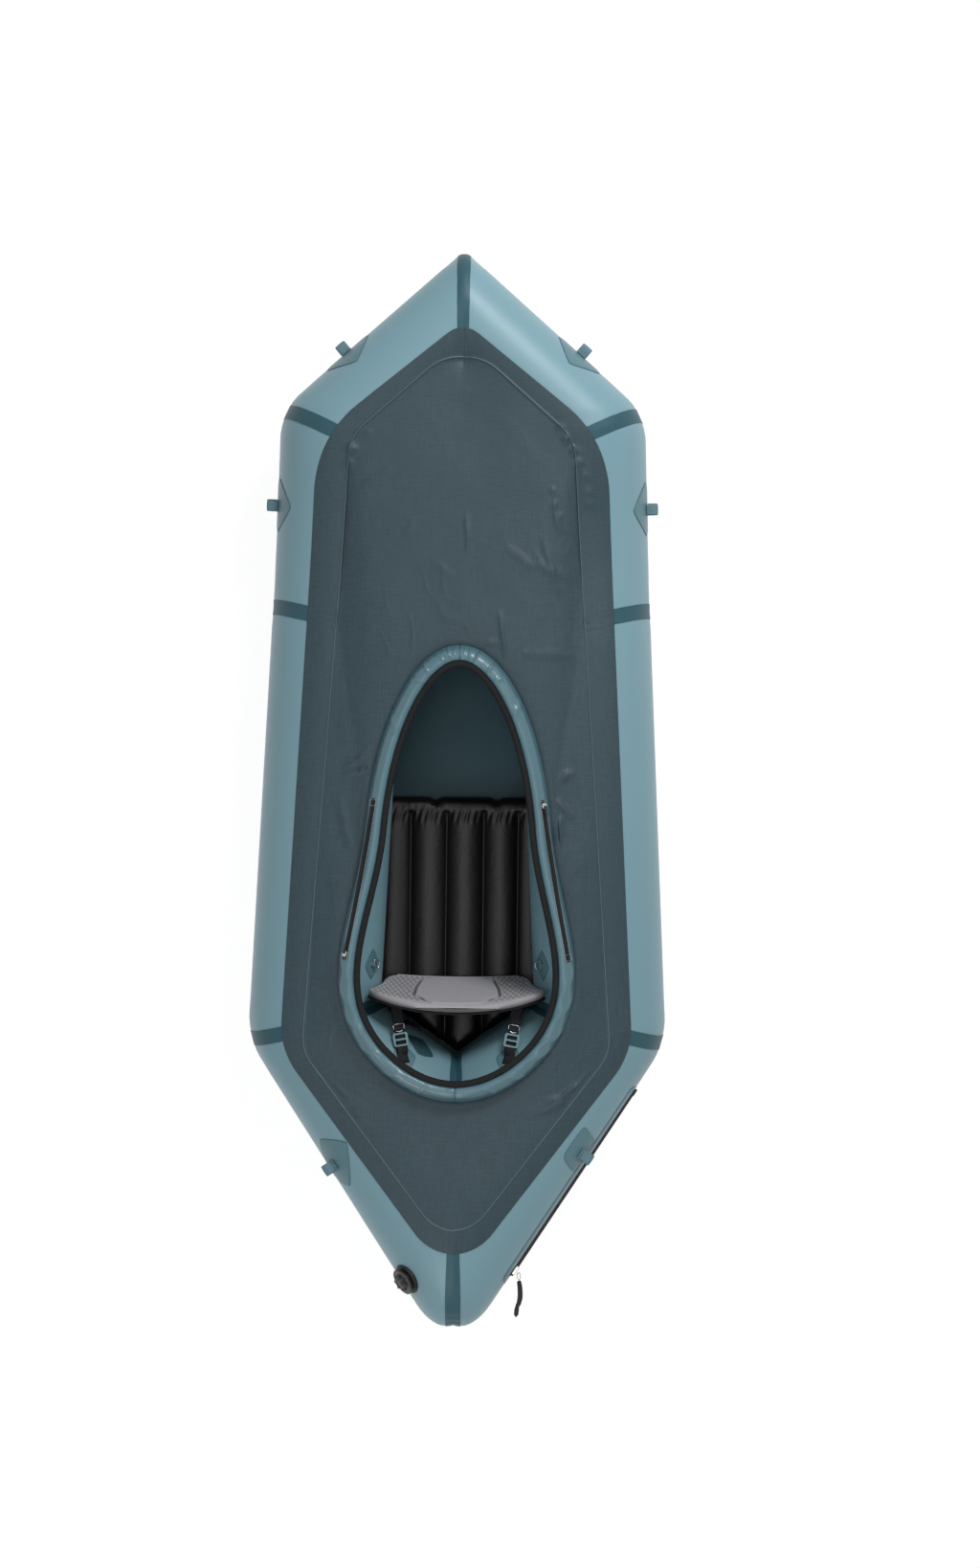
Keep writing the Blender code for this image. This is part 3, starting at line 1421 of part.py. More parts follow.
def build_valve_inside(place, bore):
    body = bore - GAP
    inside = body - BODY_WALL
    floor = -BARREL_DEPTH
    stem = STEM_DIAMETER / 2
    turned_object(
        "valve_body",
        [
            (body, VALVE_RIM_HEIGHT), (body, floor), (stem + GAP, floor), (stem + GAP, floor + BODY_WEB),
            (inside, floor + BODY_WEB), (inside, VALVE_RIM_HEIGHT),
        ],
        place, "black_plastic",
    )
    head = PLUNGER_HEAD / 2
    head_low = VALVE_RIM_HEIGHT - PLUNGER_HEAD_THICKNESS - 2 * GAP
    plunger = [
        (head, head_low + PLUNGER_HEAD_THICKNESS), (head, head_low), (stem, head_low),
        (stem, floor - GAP), (head, floor - GAP), (head, floor - BODY_WEB), (0, floor - BODY_WEB),
        (0, head_low + PLUNGER_HEAD_THICKNESS),
    ]
    turned_object("valve_plunger", plunger, place, "black_plastic", steps=20)
    low = floor + BODY_WEB + SPRING_WIRE / 2 + GAP
    high = head_low - SPRING_WIRE / 2 - GAP
    radius = (stem + inside) / 2
    points = []
    count = 9 * SPRING_TURNS
    for k in range(count + 1):
        a = 2 * math.pi * k / 9
        points.append(Vector((radius * math.cos(a), radius * math.sin(a), low + (high - low) * k / count)))
    spring = tube_object("valve_spring", points, SPRING_WIRE, "metal", sides_level=1)
    spring.matrix_world = place
    seal_low = VALVE_RIM_HEIGHT + GAP
    turned_object(
        "valve_seal",
        [
            (bore + VALVE_RIM_WALL, seal_low + SEAL_DEPTH), (bore + VALVE_RIM_WALL, seal_low),
            (bore + GAP, seal_low), (bore + GAP, seal_low + SEAL_DEPTH),
        ],
        place, "rubber",
    )
    build_cap(place, seal_low + SEAL_DEPTH + GAP)


def build_cap(place, low):
    """A notched disc with a lobed grip on it."""
    sides = 36
    rim = CAP_DIAMETER / 2
    rings = []
    levels = [
        (rim - CAP_RIM_HEIGHT / 5, 0.0, 0.0), (rim, CAP_RIM_HEIGHT / 4, 0.0), (rim, CAP_RIM_HEIGHT * 0.8, 0.0),
        (rim - CAP_RIM_HEIGHT / 4, CAP_RIM_HEIGHT, 0.0),
        (CAP_GRIP_RADIUS + CAP_LOBE_DEPTH, CAP_RIM_HEIGHT, CAP_LOBE_DEPTH),
        (CAP_GRIP_RADIUS, CAP_RIM_HEIGHT + CAP_GRIP_HEIGHT * 0.75, CAP_LOBE_DEPTH),
        (CAP_GRIP_RADIUS * 0.88, CAP_RIM_HEIGHT + CAP_GRIP_HEIGHT, CAP_LOBE_DEPTH * 0.8),
    ]
    for radius, high, lobe in levels:
        ring = []
        for k in range(sides):
            a = 2 * math.pi * k / sides
            r = radius + lobe * math.cos(CAP_LOBES * a) - lobe
            ring.append(place @ Vector((r * math.cos(a), r * math.sin(a), low + high)))
        rings.append(ring)
    ring_loft("valve_cap", rings, "black_plastic")


def main():
    turns = coaming_turns()
    build_tubes()
    build_floor()
    build_deck(turns)
    build_coaming(turns)
    build_coaming_zips(turns)
    build_mat()
    build_backrest()
    build_tie_downs()
    build_thigh_rings()
    build_straps()
    build_cargo_zip()
    build_valve()
    bpy.context.view_layer.update()


main()
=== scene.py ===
import json
import math

import bmesh
import bpy
import numpy
from mathutils import Matrix, Vector, noise

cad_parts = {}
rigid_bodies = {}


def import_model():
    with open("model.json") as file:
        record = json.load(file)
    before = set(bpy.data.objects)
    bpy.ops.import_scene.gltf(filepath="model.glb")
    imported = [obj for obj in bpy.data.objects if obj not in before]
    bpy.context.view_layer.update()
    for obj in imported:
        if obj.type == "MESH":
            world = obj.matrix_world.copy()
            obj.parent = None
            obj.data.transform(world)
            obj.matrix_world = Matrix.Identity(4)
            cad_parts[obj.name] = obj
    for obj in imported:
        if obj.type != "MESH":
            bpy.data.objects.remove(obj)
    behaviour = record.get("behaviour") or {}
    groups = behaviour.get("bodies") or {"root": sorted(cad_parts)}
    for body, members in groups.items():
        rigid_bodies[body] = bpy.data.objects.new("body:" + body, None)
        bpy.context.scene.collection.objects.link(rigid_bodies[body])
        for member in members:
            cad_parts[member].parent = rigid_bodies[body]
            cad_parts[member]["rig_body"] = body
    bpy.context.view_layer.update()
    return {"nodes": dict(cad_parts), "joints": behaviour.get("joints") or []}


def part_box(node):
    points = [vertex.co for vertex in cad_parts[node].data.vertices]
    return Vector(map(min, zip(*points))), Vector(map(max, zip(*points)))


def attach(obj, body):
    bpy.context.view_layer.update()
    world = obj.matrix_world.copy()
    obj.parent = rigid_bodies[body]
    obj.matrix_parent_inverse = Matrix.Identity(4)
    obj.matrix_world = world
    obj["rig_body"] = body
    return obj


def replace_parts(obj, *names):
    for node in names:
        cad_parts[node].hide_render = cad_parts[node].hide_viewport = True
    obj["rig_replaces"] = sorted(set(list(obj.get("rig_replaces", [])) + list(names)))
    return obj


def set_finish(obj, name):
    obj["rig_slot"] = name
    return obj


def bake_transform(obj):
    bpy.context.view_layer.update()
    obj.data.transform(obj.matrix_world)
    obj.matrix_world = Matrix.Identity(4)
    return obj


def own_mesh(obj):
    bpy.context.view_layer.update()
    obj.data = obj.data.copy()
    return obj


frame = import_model()
print("frame loaded:", len(frame["nodes"]), "nodes")

cadNodes = frame["nodes"]
joints = {joint["name"]: joint for joint in frame["joints"]}


def plain(red, green, blue):
    # screen colour, 0 to 255, as the linear colour that a shader takes
    values = []
    for part in (red, green, blue):
        share = part / 255
        values.append(((share + 0.055) / 1.055) ** 2.4 if share > 0.04045 else share / 12.92)
    return (*values, 1)


def smoothStep(share):
    share = max(0.0, min(1.0, share))
    return share * share * (3 - 2 * share)


def bell(distance, width):
    return math.exp(-((distance / width) ** 2))


def roundOff(share):
    # how far a quarter circle has dropped: 0 up to a share of 0, and 1 at a share of 1
    return 1 - math.sqrt(max(0, 1 - max(0, share) ** 2))


def spline(p0, p1, p2, p3, s):
    # a smooth curve from p1 to p2, with the values before and after them
    squared = (2 * p0 - 5 * p1 + 4 * p2 - p3) * s * s
    return 0.5 * (2 * p1 + (p2 - p0) * s + squared + (3 * p1 - p0 - 3 * p2 + p3) * s ** 3)


# Camera

view = {"place": (0.0686, 0.0157, 5.0), "turn": 0.011, "lens": 49.13, "sensor": 36}

camera = bpy.data.objects.new("overheadCamera", bpy.data.cameras.new("overheadCamera"))
bpy.context.scene.collection.objects.link(camera)
camera.location = view["place"]
camera.rotation_euler = (0, 0, view["turn"])
camera.data.sensor_fit = "VERTICAL"
camera.data.sensor_height = view["sensor"]
camera.data.lens = view["lens"]
camera.data.clip_end = 50
bpy.context.scene.camera = camera
bpy.context.scene.view_settings.view_transform = "Standard"


# Shader groups that several materials share

def newGroup(name, inputs, outputs):
    group = bpy.data.node_groups.new(name, "ShaderNodeTree")
    for label, value in inputs:
        socket = group.interface.new_socket(name=label, in_out="INPUT", socket_type="NodeSocketFloat")
        socket.default_value = value
    for label in outputs:
        group.interface.new_socket(name=label, in_out="OUTPUT", socket_type="NodeSocketFloat")
    start = group.nodes.new("NodeGroupInput")
    end = group.nodes.new("NodeGroupOutput")
    return group, start.outputs, end.inputs


def addNode(tree, kind, settings=None, links=None):
    node = tree.nodes.new(kind)
    for label, value in (settings or {}).items():
        if hasattr(node, label):
            setattr(node, label, value)
        else:
            node.inputs[label].default_value = value
    for label, source in (links or {}).items():
        tree.links.new(source, node.inputs[label])
    return node


def calculate(tree, operation, first, second, third=None):
    node = tree.nodes.new("ShaderNodeMath")
    node.operation = operation
    for index, value in enumerate((first, second, third)):
        if value is None:
            continue
        if isinstance(value, (int, float)):
            node.inputs[index].default_value = value
        else:
            tree.links.new(value, node.inputs[index])
    return node.outputs[0]


def stretched(tree, source, scale):
    node = tree.nodes.new("ShaderNodeVectorMath")
    node.operation = "MULTIPLY"
    node.inputs[1].default_value = scale
    tree.links.new(source, node.inputs[0])
    return node.outputs[0]


def buildWeave():
    # crossed threads for the relief, and long streaks for the heathered tone
    group, start, end = newGroup("fineWeave", [("Threads", 400.0), ("Streaks", 1.0)], ["Height", "Streak"])
    spot = group.nodes.new("ShaderNodeTexCoord").outputs["Object"]
    waves = []
    for axis in ("X", "Y", "Z"):
        wave = addNode(
            group, "ShaderNodeTexWave", {"bands_direction": axis, "Distortion": 0.6, "Detail": 1.0}
        )
        group.links.new(spot, wave.inputs["Vector"])
        group.links.new(start["Threads"], wave.inputs["Scale"])
        waves.append(wave.outputs["Fac"])
    crossed = calculate(group, "MAXIMUM", waves[0], waves[1])
    crossed = calculate(group, "MULTIPLY_ADD", waves[2], 0.5, crossed)
    group.links.new(crossed, end["Height"])
    warp = addNode(group, "ShaderNodeTexNoise", {"Scale": 1.0, "Detail": 3.0},
                   {"Vector": stretched(group, spot, (620, 26, 60))})
    weft = addNode(group, "ShaderNodeTexNoise", {"Scale": 1.0, "Detail": 2.0},
                   {"Vector": stretched(group, spot, (40, 620, 60))})
    both = calculate(group, "ADD", warp.outputs["Fac"], weft.outputs["Fac"])
    centred = calculate(group, "SUBTRACT", both, 1.0)
    streak = calculate(group, "MULTIPLY_ADD", centred, start["Streaks"], 0.5)
    group.links.new(streak, end["Streak"])
    return group


def buildBlotches():
    # slow changes of tone, as where film is pulled or handled
    group, start, end = newGroup("softBlotches", [("Size", 6.0), ("Amount", 0.3)], ["Factor", "Height"])
    spot = group.nodes.new("ShaderNodeTexCoord").outputs["Object"]
    wide = addNode(
        group, "ShaderNodeTexNoise", {"Detail": 4.0, "Roughness": 0.55},
        {"Vector": spot, "Scale": start["Size"]}
    )
    centred = calculate(group, "SUBTRACT", wide.outputs["Fac"], 0.5)
    factor = calculate(group, "MULTIPLY_ADD", centred, start["Amount"], 0.5)
    group.links.new(factor, end["Factor"])
    group.links.new(wide.outputs["Fac"], end["Height"])
    return group


def buildCreases():
    # narrow soft ridges, as in slack film
    group, start, end = newGroup("filmCreases", [("Size", 9.0), ("Sharpness", 7.0)], ["Height"])
    spot = group.nodes.new("ShaderNodeTexCoord").outputs["Object"]
    field = addNode(
        group, "ShaderNodeTexNoise", {"Detail": 2.0, "Distortion": 0.9},
        {"Vector": spot, "Scale": start["Size"]}
    )
    centred = calculate(group, "SUBTRACT", field.outputs["Fac"], 0.5)
    distance = calculate(group, "ABSOLUTE", centred, None)
    scaled = calculate(group, "MULTIPLY", distance, start["Sharpness"])
    ridge = calculate(group, "SUBTRACT", 1.0, scaled)
    clipped = calculate(group, "MAXIMUM", ridge, 0.0)
    group.links.new(calculate(group, "MULTIPLY", clipped, clipped), end["Height"])
    return group


def buildScuffs():
    # fine scratches and dust that lift the tone of handled surfaces
    group, start, end = newGroup("fineScuffs", [("Density", 120.0), ("Amount", 0.5)], ["Mask"])
    spot = group.nodes.new("ShaderNodeTexCoord").outputs["Object"]
    grit = addNode(
        group, "ShaderNodeTexNoise", {"Detail": 5.0, "Roughness": 0.7},
        {"Vector": spot, "Scale": start["Density"]}
    )
    slow = addNode(group, "ShaderNodeTexNoise", {"Scale": 7.0, "Detail": 1.0}, {"Vector": spot})
    high = calculate(group, "SUBTRACT", grit.outputs["Fac"], 0.56)
    sharp = calculate(group, "MULTIPLY", high, 6.0)
    masked = calculate(group, "MULTIPLY", sharp, slow.outputs["Fac"])
    amount = calculate(group, "MULTIPLY", masked, start["Amount"])
    clipped = calculate(group, "MAXIMUM", amount, 0.0)
    group.links.new(calculate(group, "MINIMUM", clipped, 1.0), end["Mask"])
    return group


groups = {
    "weave": buildWeave(), "blotches": buildBlotches(), "creases": buildCreases(), "scuffs": buildScuffs()
}


def useGroup(tree, label, settings):
    node = tree.nodes.new("ShaderNodeGroup")
    node.node_tree = groups[label]
    for name, value in settings.items():
        node.inputs[name].default_value = value
    return node


def blendColours(tree, factor, first, second):
    node = tree.nodes.new("ShaderNodeMix")
    node.data_type = "RGBA"
    tree.links.new(factor, node.inputs["Factor"])
    for index, value in ((6, first), (7, second)):
        if isinstance(value, tuple):
            node.inputs[index].default_value = value
        else:
            tree.links.new(value, node.inputs[index])
    return node.outputs[2]


def newMaterial(name, constants):
    material = bpy.data.materials.new(name)
    material.use_nodes = True
    shader = material.node_tree.nodes["Principled BSDF"]
    for label, value in constants.items():
        shader.inputs[label].default_value = value
    return material, material.node_tree, shader


def spreadRoughness(tree, source, low, high):
    node = tree.nodes.new("ShaderNodeMapRange")
    node.inputs["To Min"].default_value = low
    node.inputs["To Max"].default_value = high
    tree.links.new(source, node.inputs["Value"])
    return node.outputs["Result"]


def makeCloth(name, settings):
    # coated or woven cloth: threads, heathered tone, slow blotches, film creases, and painted shade where a
    # mesh attribute marks grooves or a hidden face
    material, tree, shader = newMaterial(name, settings.get("shader", {}))
    weave = useGroup(tree, "weave", {"Threads": settings["threads"], "Streaks": settings["streaks"]})
    blotches = useGroup(
        tree, "blotches", {"Size": settings["blotchSize"], "Amount": settings["blotchAmount"]}
    )
    scuffs = useGroup(tree, "scuffs", {"Density": settings["scuffSize"], "Amount": settings["scuffs"]})
    dark, light, tint, dust = (plain(*settings[label]) for label in ("dark", "light", "tint", "dust"))
    toned = blendColours(tree, weave.outputs["Streak"], dark, light)
    blotted = blendColours(tree, blotches.outputs["Factor"], toned, tint)
    surfaceColour = blendColours(tree, scuffs.outputs["Mask"], blotted, dust)
    # painted shade: the colour blends towards a darker tone where the mesh's attribute is high
    if "paintedShade" in settings:
        depth = tree.nodes.new("ShaderNodeAttribute")
        depth.attribute_name = "paintedShade"
        surfaceColour = blendColours(tree, depth.outputs["Fac"], surfaceColour, plain(*settings["paintedShade"]))
    tree.links.new(surfaceColour, shader.inputs["Base Color"])
    low, high = settings["roughness"]
    tree.links.new(spreadRoughness(tree, blotches.outputs["Height"], low, high), shader.inputs["Roughness"])
    height = calculate(tree, "MULTIPLY", weave.outputs["Height"], settings["threadRelief"])
    if settings["creases"]:
        creases = useGroup(
            tree, "creases", {"Size": settings["creaseSize"], "Sharpness": settings["creaseEdge"]}
        )
        height = calculate(tree, "MULTIPLY_ADD", creases.outputs["Height"], settings["creases"], height)
    bump = addNode(tree, "ShaderNodeBump", {"Distance": 0.001, "Strength": 1.0}, {"Height": height})
    tree.links.new(bump.outputs["Normal"], shader.inputs["Normal"])
    return material


def makeHard(name, settings):
    # moulded plastic, rubber or plated metal with grain and scuffs
    material, tree, shader = newMaterial(name, settings.get("shader", {}))
    blotches = useGroup(tree, "blotches", {"Size": settings["grain"], "Amount": 1.0})
    scuffs = useGroup(tree, "scuffs", {"Density": 420, "Amount": settings["scuffs"]})
    dark, light, dust = (plain(*settings[label]) for label in ("dark", "light", "dust"))
    toned = blendColours(tree, blotches.outputs["Factor"], dark, light)
    surfaceColour = blendColours(tree, scuffs.outputs["Mask"], toned, dust)
    tree.links.new(surfaceColour, shader.inputs["Base Color"])
    low, high = settings["roughness"]
    tree.links.new(spreadRoughness(tree, blotches.outputs["Height"], low, high), shader.inputs["Roughness"])
    bump = addNode(
        tree, "ShaderNodeBump", {"Distance": settings["relief"], "Strength": 1.0},
        {"Height": blotches.outputs["Height"]}
    )
    tree.links.new(bump.outputs["Normal"], shader.inputs["Normal"])
    return material


clothDefaults = {
    "threads": 300.0, "streaks": 0.6, "blotchSize": 5.0, "blotchAmount": 0.5, "scuffs": 0.1,
    "scuffSize": 160, "roughness": (0.42, 0.56), "threadRelief": 0.05,
    "creases": 0.0, "creaseSize": 9.0, "creaseEdge": 9,
}

cloths = {
    "hullFilm": {
        "dark": (120, 157, 169), "light": (130, 167, 178), "tint": (122, 161, 173), "dust": (168, 190, 198),
        "streaks": 0.35, "roughness": (0.36, 0.46), "threadRelief": 0.03, "scuffs": 0.05,
        "shader": {"Specular IOR Level": 0.4, "Coat Weight": 0.06, "Coat Roughness": 0.35},
    },
    "seamTape": {
        "dark": (44, 83, 94), "light": (54, 93, 104), "tint": (46, 85, 96), "dust": (96, 132, 142),
        "streaks": 0.3, "roughness": (0.40, 0.54), "threadRelief": 0.02,
        "shader": {"Specular IOR Level": 0.3},
    },
    "patchFilm": {
        "dark": (84, 122, 132), "light": (94, 132, 142), "tint": (84, 122, 134), "dust": (140, 168, 176),
        "streaks": 0.3, "roughness": (0.34, 0.48), "threadRelief": 0.03,
    },
    "patchRim": {
        "dark": (62, 98, 108), "light": (70, 106, 116), "tint": (62, 98, 108), "dust": (110, 140, 148),
        "roughness": (0.34, 0.48),
    },
    "patchDark": {
        "dark": (44, 72, 82), "light": (54, 84, 94), "tint": (46, 76, 86), "dust": (100, 126, 134),
        "streaks": 0.3, "roughness": (0.36, 0.5), "threadRelief": 0.03,
    },
    "deckCloth": {
        "dark": (28, 46, 54), "light": (56, 80, 90), "tint": (36, 58, 67), "dust": (98, 118, 126),
        "threads": 240.0, "streaks": 1.4, "blotchAmount": 0.8, "roughness": (0.42, 0.52),
        "threadRelief": 0.08,
        "creases": 0.10, "creaseSize": 7.0, "scuffs": 0.05,
        "shader": {"Specular IOR Level": 0.42},
    },
    # lighter than the deck: partly the weld's own mark, partly a painted highlight along the bead
    "weldBead": {
        "dark": (62, 84, 93), "light": (88, 112, 121), "tint": (70, 93, 102), "dust": (120, 140, 148),
        "streaks": 0.8, "roughness": (0.34, 0.46), "threadRelief": 0.03,
    },
    "sleeveFilm": {
        "dark": (66, 104, 116), "light": (82, 121, 133), "tint": (70, 110, 122), "dust": (140, 168, 178),
        "streaks": 0.4, "roughness": (0.30, 0.42), "threadRelief": 0.03, "creases": 0.25,
        "creaseSize": 14.0, "scuffs": 0.03,
        "shader": {"Coat Weight": 0.5, "Coat Roughness": 0.26},
    },
    "floorCloth": {
        "dark": (44, 76, 86), "light": (60, 95, 105), "tint": (48, 82, 92), "dust": (96, 122, 130),
        "streaks": 0.5, "roughness": (0.40, 0.52), "creases": 0.25, "creaseSize": 4.0,
        "shader": {"Specular IOR Level": 0.28},
    },
    "blackTape": {
        "dark": (14, 14, 15), "light": (26, 25, 27), "tint": (18, 18, 19), "dust": (70, 70, 72),
        "threads": 420.0, "streaks": 1.2, "roughness": (0.66, 0.8), "threadRelief": 0.16, "scuffs": 0.08,
        "shader": {"Specular IOR Level": 0.25},
    },
    "matCloth": {
        "dark": (16, 14, 14), "light": (28, 25, 25), "tint": (19, 17, 17), "dust": (84, 78, 76),
        "threads": 520.0, "streaks": 1.0, "roughness": (0.30, 0.38), "threadRelief": 0.04, "scuffs": 0.03,
        "creases": 0.2, "creaseSize": 22.0,
        "shader": {"Specular IOR Level": 0.34},
    },
    "foamCover": {
        "dark": (168, 166, 171), "light": (188, 186, 191), "tint": (178, 176, 181), "dust": (196, 194, 198),
        # painted shade: the tone of the foam's grooves and of its rear face
        "paintedShade": (88, 86, 90),
        "threads": 640.0, "streaks": 1.4, "roughness": (0.74, 0.86), "threadRelief": 0.12, "scuffs": 0.05,
        "shader": {"Sheen Weight": 0.2, "Sheen Roughness": 0.6},
    },
    "tealWebbing": {
        "dark": (88, 120, 130), "light": (116, 148, 158), "tint": (98, 132, 142), "dust": (160, 180, 186),
        "threads": 180.0, "streaks": 1.4, "roughness": (0.6, 0.74), "threadRelief": 0.34,
    },
    "blackWebbing": {
        "dark": (20, 21, 23), "light": (36, 37, 40), "tint": (26, 27, 29), "dust": (84, 84, 86),
        "threads": 180.0, "streaks": 1.4, "roughness": (0.6, 0.76), "threadRelief": 0.34,
        "shader": {"Specular IOR Level": 0.3},
    },
    "thread": {
        "dark": (178, 190, 194), "light": (206, 214, 218), "tint": (190, 200, 204), "dust": (150, 156, 160),
        "threads": 900.0, "roughness": (0.6, 0.7), "threadRelief": 0.05,
    },
}

hards = {
    "blackPlastic": {
        "dark": (30, 30, 32), "light": (44, 44, 46), "dust": (110, 110, 112), "grain": 900.0,
        "roughness": (0.34, 0.52), "relief": 0.00006, "scuffs": 0.35,
    },
    "blackRubber": {
        "dark": (14, 14, 15), "light": (26, 26, 27), "dust": (84, 84, 86), "grain": 600.0,
        "roughness": (0.46, 0.62), "relief": 0.0001, "scuffs": 0.2,
        "shader": {"Specular IOR Level": 0.3},
    },
    "smokedPlastic": {
        "dark": (34, 37, 40), "light": (56, 60, 64), "dust": (120, 124, 128), "grain": 500.0,
        "roughness": (0.22, 0.36), "relief": 0.00004, "scuffs": 0.3,
    },
    "tealPlastic": {
        "dark": (112, 148, 156), "light": (130, 166, 174), "dust": (186, 202, 208), "grain": 800.0,
        "roughness": (0.34, 0.5), "relief": 0.00006, "scuffs": 0.3,
    },
    "platedMetal": {
        "dark": (160, 157, 154), "light": (196, 194, 190), "dust": (120, 116, 110), "grain": 500.0,
        "roughness": (0.16, 0.3), "relief": 0.00003, "scuffs": 0.4,
        "shader": {"Metallic": 1.0},
    },
}

materials = {}
for name, settings in cloths.items():
    materials[name] = makeCloth(name, {**clothDefaults, **settings})
for name, settings in hards.items():
    materials[name] = makeHard(name, settings)
print("materials made:", len(materials))


# Making pieces

def newMesh(name, points, faces, smooth=True, sharp=50):
    mesh = bpy.data.meshes.new(name)
    mesh.from_pydata([tuple(point) for point in points], [], faces)
    built = bmesh.new()
    built.from_mesh(mesh)
    bmesh.ops.remove_doubles(built, verts=built.verts, dist=0.000002)
    bmesh.ops.recalc_face_normals(built, faces=built.faces)
    built.to_mesh(mesh)
    built.free()
    if smooth:
        mesh.shade_smooth()
        mesh.set_sharp_from_angle(angle=math.radians(sharp))
    return mesh


def gridFaces(rows, columns, closedRows=False, closedColumns=False):
    faces = []
    for i in range(rows if closedRows else rows - 1):
        for j in range(columns if closedColumns else columns - 1):
            k = (i + 1) % rows
            m = (j + 1) % columns
            faces.append((i * columns + j, i * columns + m, k * columns + m, k * columns + j))
    return faces


def place(name, mesh, material, body="hull", nodes=(), slot=None):
    piece = bpy.data.objects.new(name, mesh)
    bpy.context.scene.collection.objects.link(piece)
    mesh.materials.append(materials[material])
    if body:
        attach(piece, body)
    if nodes:
        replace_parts(piece, *nodes)
    if slot:
        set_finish(piece, slot)
    return piece


def settle(piece):
    # the modifiers' result becomes the piece's own mesh
    bpy.context.view_layer.update()
    shape = piece.evaluated_get(bpy.context.evaluated_depsgraph_get())
    mesh = bpy.data.meshes.new_from_object(shape)
    piece.modifiers.clear()
    piece.data = mesh
    return piece


def thicken(piece, thickness, offset=1.0, rounds=0):
    solid = piece.modifiers.new("thickness", "SOLIDIFY")
    solid.thickness = thickness
    solid.offset = offset
    solid.use_even_offset = False
    if rounds:
        smooth = piece.modifiers.new("rounding", "SUBSURF")
        smooth.levels = rounds
        smooth.render_levels = rounds
    return settle(piece)


def skyward(point):
    return Vector((0, 0, 1))


def faceUp(mesh, towards):
    # open sheets: normals to the side where towards(point) points
    built = bmesh.new()
    built.from_mesh(mesh)
    built.normal_update()
    total = 0.0
    for face in built.faces:
        total += face.normal.dot(towards(face.calc_center_median())) * face.calc_area()
    if total < 0:
        bmesh.ops.reverse_faces(built, faces=built.faces)
    built.to_mesh(mesh)
    built.free()
    return mesh


def sheetMesh(name, rows, towards, closed=False):
    points = [point for row in rows for point in row]
    mesh = newMesh(name, points, gridFaces(len(rows), len(rows[0]), closedRows=closed))
    return faceUp(mesh, towards)


def loftMesh(name, rings, closed=False, sharp=50):
    count = len(rings[0])
    points = [point for ring in rings for point in ring]
    faces = gridFaces(len(rings), count, closedRows=closed, closedColumns=True)
    if not closed:
        faces.append(tuple(range(count)))
        faces.append(tuple((len(rings) - 1) * count + i for i in range(count)))
    return newMesh(name, points, faces, sharp=sharp)


def sweep(path, section, ups):
    # rings of a section, (across, up) pairs, carried along a path with an up direction at each point
    rings = []
    for k, point in enumerate(path):
        before = path[max(k - 1, 0)]
        after = path[min(k + 1, len(path) - 1)]
        along = (after - before).normalized()
        up = (ups[k] - along * ups[k].dot(along)).normalized()
        across = along.cross(up)
        rings.append([point + across * a + up * u for a, u in section])
    return rings


def circle(radius, count, turn=0.0):
    turns = [turn + 2 * math.pi * k / count for k in range(count)]
    return [(radius * math.cos(angle), radius * math.sin(angle)) for angle in turns]


def mirror(point):
    return Vector((-point.x, point.y, point.z))


def handed(points, side):
    # points or directions of the right half, for the given side
    return [Vector((point.x * side, point.y, point.z)) for point in points]


def runningLengths(points):
    # the distance along the line to each of its points
    lengths = [0.0]
    for a, b in zip(points, points[1:]):
        lengths.append(lengths[-1] + (b - a).length)
    return lengths


# Hull shape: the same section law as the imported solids, on the right half

hull = {
    "halfLength": 1.18, "halfBeam": 0.467, "tubeWidth": 0.296, "bowWidth": 0.276, "sternHeight": 0.316,
    "shoulder": (0.871, 0.7145), "rearCorner": (1.013, -0.479), "wellEnd": -0.508, "sideSeam": 0.308,
    "roundings": (0.022, 0.14, 0.18, 0.1014), "rockerStart": 0.381, "rockerBlend": 0.169,
    "bowRise": 0.15, "sternRise": 0.10, "bottom": 0.0032, "inset": -0.0006,
    "tapeHalf": 0.017, "spacing": 0.016, "least": 0.0038, "sides": 64,
    # rows beside each seam: those at the tape's edges are always kept
    "tapeMarks": (-0.0175, -0.0165, 0, 0.0165, 0.0175),
    "seamMarks": (-0.028, -0.022, -0.011, -0.006, 0.006, 0.011, 0.022, 0.028),
}
runNames = ("bow", "side", "stern")


def planNormal(start, end):
    along = (end - start).normalized()
    return Vector((-along.y, along.x)) * (1 if -along.y > 0 else -1)


def noseApex(corner, tip, radius):
    # the sharp corner whose rounding of this radius ends at the tip
    sign = 1 if tip > 0 else -1
    apex = tip
    for _ in range(8):
        side = Vector((corner.x, abs(apex - corner.y))).normalized()
        apex = tip + sign * radius * (1 / side.x - 1)
    return Vector((0, apex))


def hullLines():
    half, beam = hull["halfLength"], hull["halfBeam"]
    shoulder = Vector((hull["shoulder"][0] * beam, hull["shoulder"][1] * half))
    rear = Vector((hull["rearCorner"][0] * beam, hull["rearCorner"][1] * half))
    bow = noseApex(shoulder, half, hull["roundings"][0])
    stern = noseApex(rear, -half, hull["roundings"][3])
    outer = [bow, shoulder, rear, stern]
    normals = [planNormal(outer[i], outer[i + 1]) for i in range(3)]
    between = [(first + second).normalized() for first, second in zip(normals, normals[1:])]
    mitres = [Vector((0, 1)), *between, Vector((0, -1))]
    turns = [math.acos(normals[max(i - 1, 0)].dot(mitres[i])) for i in range(4)]
    inner = [
        bow - mitres[0] * hull["bowWidth"] / math.cos(turns[0]),
        shoulder - mitres[1] * hull["tubeWidth"] / math.cos(turns[1]),
        rear - mitres[2] * hull["tubeWidth"] / math.cos(turns[2]),
        Vector((0, hull["wellEnd"] * half)),
    ]
    return outer, inner, turns


outerLine, innerLine, halfTurns = hullLines()
halfHeights = [hull["bowWidth"] / 2, hull["tubeWidth"] / 2, hull["tubeWidth"] / 2, hull["sternHeight"] / 2]
runLengths = [(outerLine[i + 1] - outerLine[i]).length for i in range(3)]


